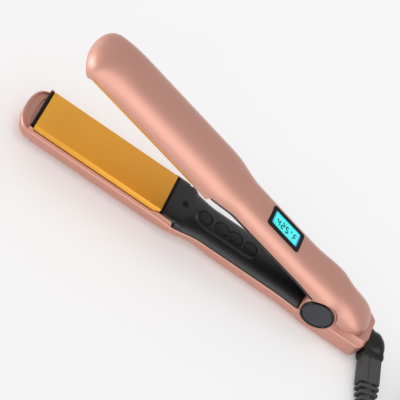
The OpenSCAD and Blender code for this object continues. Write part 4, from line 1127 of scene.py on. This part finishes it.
hood = rounded_all(softened("hood", "swivel_collar", 0.6, angle=24), 0.45, 24)
skin = [v for v in hood.data.vertices if v.co.x > SWELL_FROM * MM]
middle = sum((v.co for v in skin), Vector()) / len(skin)
reach = sum((v.co - middle).length for v in skin) / len(skin)
for v in skin:
    out = v.co - middle
    swell = HOOD_SWELL * ramp(v.co.x / MM, SWELL_FROM, SWELL_FULL)
    v.co = middle + out * mix(1, reach / out.length, swell)
way = (LEAD_FROM - BOOT_END).normalized()
turned = math.atan2(-way.z, -way.y)
thin = Vector((0, math.sin(turned), -math.cos(turned)))
wide = way.cross(thin)
mouth = BOOT_END - BOOT_L * way


def skirt_ring(out, wall):
    """A rounded oblong that lies one wall outside the grip, this far out from the hood's mouth."""
    flat = oblong(0, 0, GRIP_H + 2 * wall, GRIP_W + 2 * wall, SKIRT_R)
    return [(mouth + out * way + x * thin + y * wide) * MM for x, y in flat]


add(hood, loft("skirt", [skirt_ring(out, wall) for out, wall in SKIRT]))
rounded_all(hood, 0.4, 14)
dress(smooth(hood), hood_black, "swivel_black", "swivel_collar")
boot = softened("strain_relief", "cord_boot", 0.35, segments=3, angle=24)
dress(boot, boot_grey, "cord_boot", "cord_boot")

# %% [markdown]
# ## What stays as it is
# The pieces inside keep their CAD shapes, and each gets its own material.

# %% Inner pieces
INNER = {
    ceramic: ["lower_heater", "upper_heater"],
    bright_steel: ["lower_heater_clip", "upper_heater_clip", "hinge_pin", "opening_spring", "swivel_clip",
                   "thermal_fuse"],
    pad_grey: ["lower_float_pads", "upper_float_pads"],
    dark_steel: ["lower_sensor", "upper_sensor", "button_switches"],
    board_green: ["control_board", "display_board"],
    warm_brass: ["hinge_bush"],
    boot_grey: ["swivel_bush"],
}
for finish, names in INNER.items():
    for name in names:
        coat(nodes[name], finish)
print("inner pieces:", sum(len(names) for names in INNER.values()))

# %% [markdown]
# ## Floor and light
# A pale floor runs past the picture's edges, and the world lights everything evenly. Satin metal shows what
# it mirrors, so three lamps are there for reflections alone: a wide softbox on the near right, a card on the
# floor below it and a small softbox beyond the tips. A lamp overhead gives the soft shadow under the iron.
# The floor adds a little glow where the camera or a reflection looks at it, which keeps it pale.

# %% Stage
FLOOR_GLOW, SKY = 0.23, 0.63


def floor_white():
    f = Finish("floor_white", Roughness=0.9, Specular_IOR_Level=0.0, Emission_Strength=1.0)
    f.set(Base_Color=f.blend(f.noise(6, 2), (0.84, 0.84, 0.845, 1), (0.86, 0.86, 0.865, 1)))
    rays = ("Is Camera Ray", "Is Glossy Ray", "Is Transmission Ray")
    seen = sum((f.node("ShaderNodeLightPath", {}, {}, ray) for ray in rays), 0)
    f.set(Emission_Color=f.blend(seen, (0, 0, 0, 1), (FLOOR_GLOW, FLOOR_GLOW, FLOOR_GLOW, 1)))
    return f.material


bpy.ops.mesh.primitive_plane_add(size=12, location=(0, 0, 0))
floor = still("floor")
floor.data.materials.append(floor_white())


def softbox(name, place, target, size, brightness):
    """A lamp whose face has the given brightness, where 1 is as bright as white paper in even light."""
    data = bpy.data.lights.new(name, "AREA")
    data.shape = "RECTANGLE"
    data.size, data.size_y = size
    data.energy = brightness * math.pi * size[0] * size[1]
    obj = bpy.data.objects.new(name, data)
    obj.location = place
    obj.rotation_euler = (Vector(target) - Vector(place)).to_track_quat("-Z", "Y").to_euler()
    bpy.context.collection.objects.link(obj)
    return obj


near_side = softbox("near_side", (0.58, -0.87, 0.55), (0, 0, 0.04), (1.6, 1.36), 1.42)
near_card = softbox("near_card", (0.3, -0.7, 0.003), (0.3, -0.7, 1), (1.8, 0.86), 1.7)
tip_side = softbox("tip_side", (-0.95, -0.06, 0.13), (-0.1, 0, 0.05), (0.75, 0.4), 7.0)
for lamp in (near_side, near_card, tip_side):
    lamp.visible_diffuse = False
overhead = softbox("overhead", (0.05, 0.12, 1.2), (0, 0, 0), (0.8, 0.8), 1.6)
overhead.visible_glossy = False

world = bpy.data.worlds.new("studio")
world.use_nodes = True
sky = world.node_tree.nodes["Background"]
sky.inputs["Color"].default_value = (1, 1, 1, 1)
sky.inputs["Strength"].default_value = SKY
bpy.context.scene.world = world
bpy.context.scene.view_settings.view_transform = "Standard"
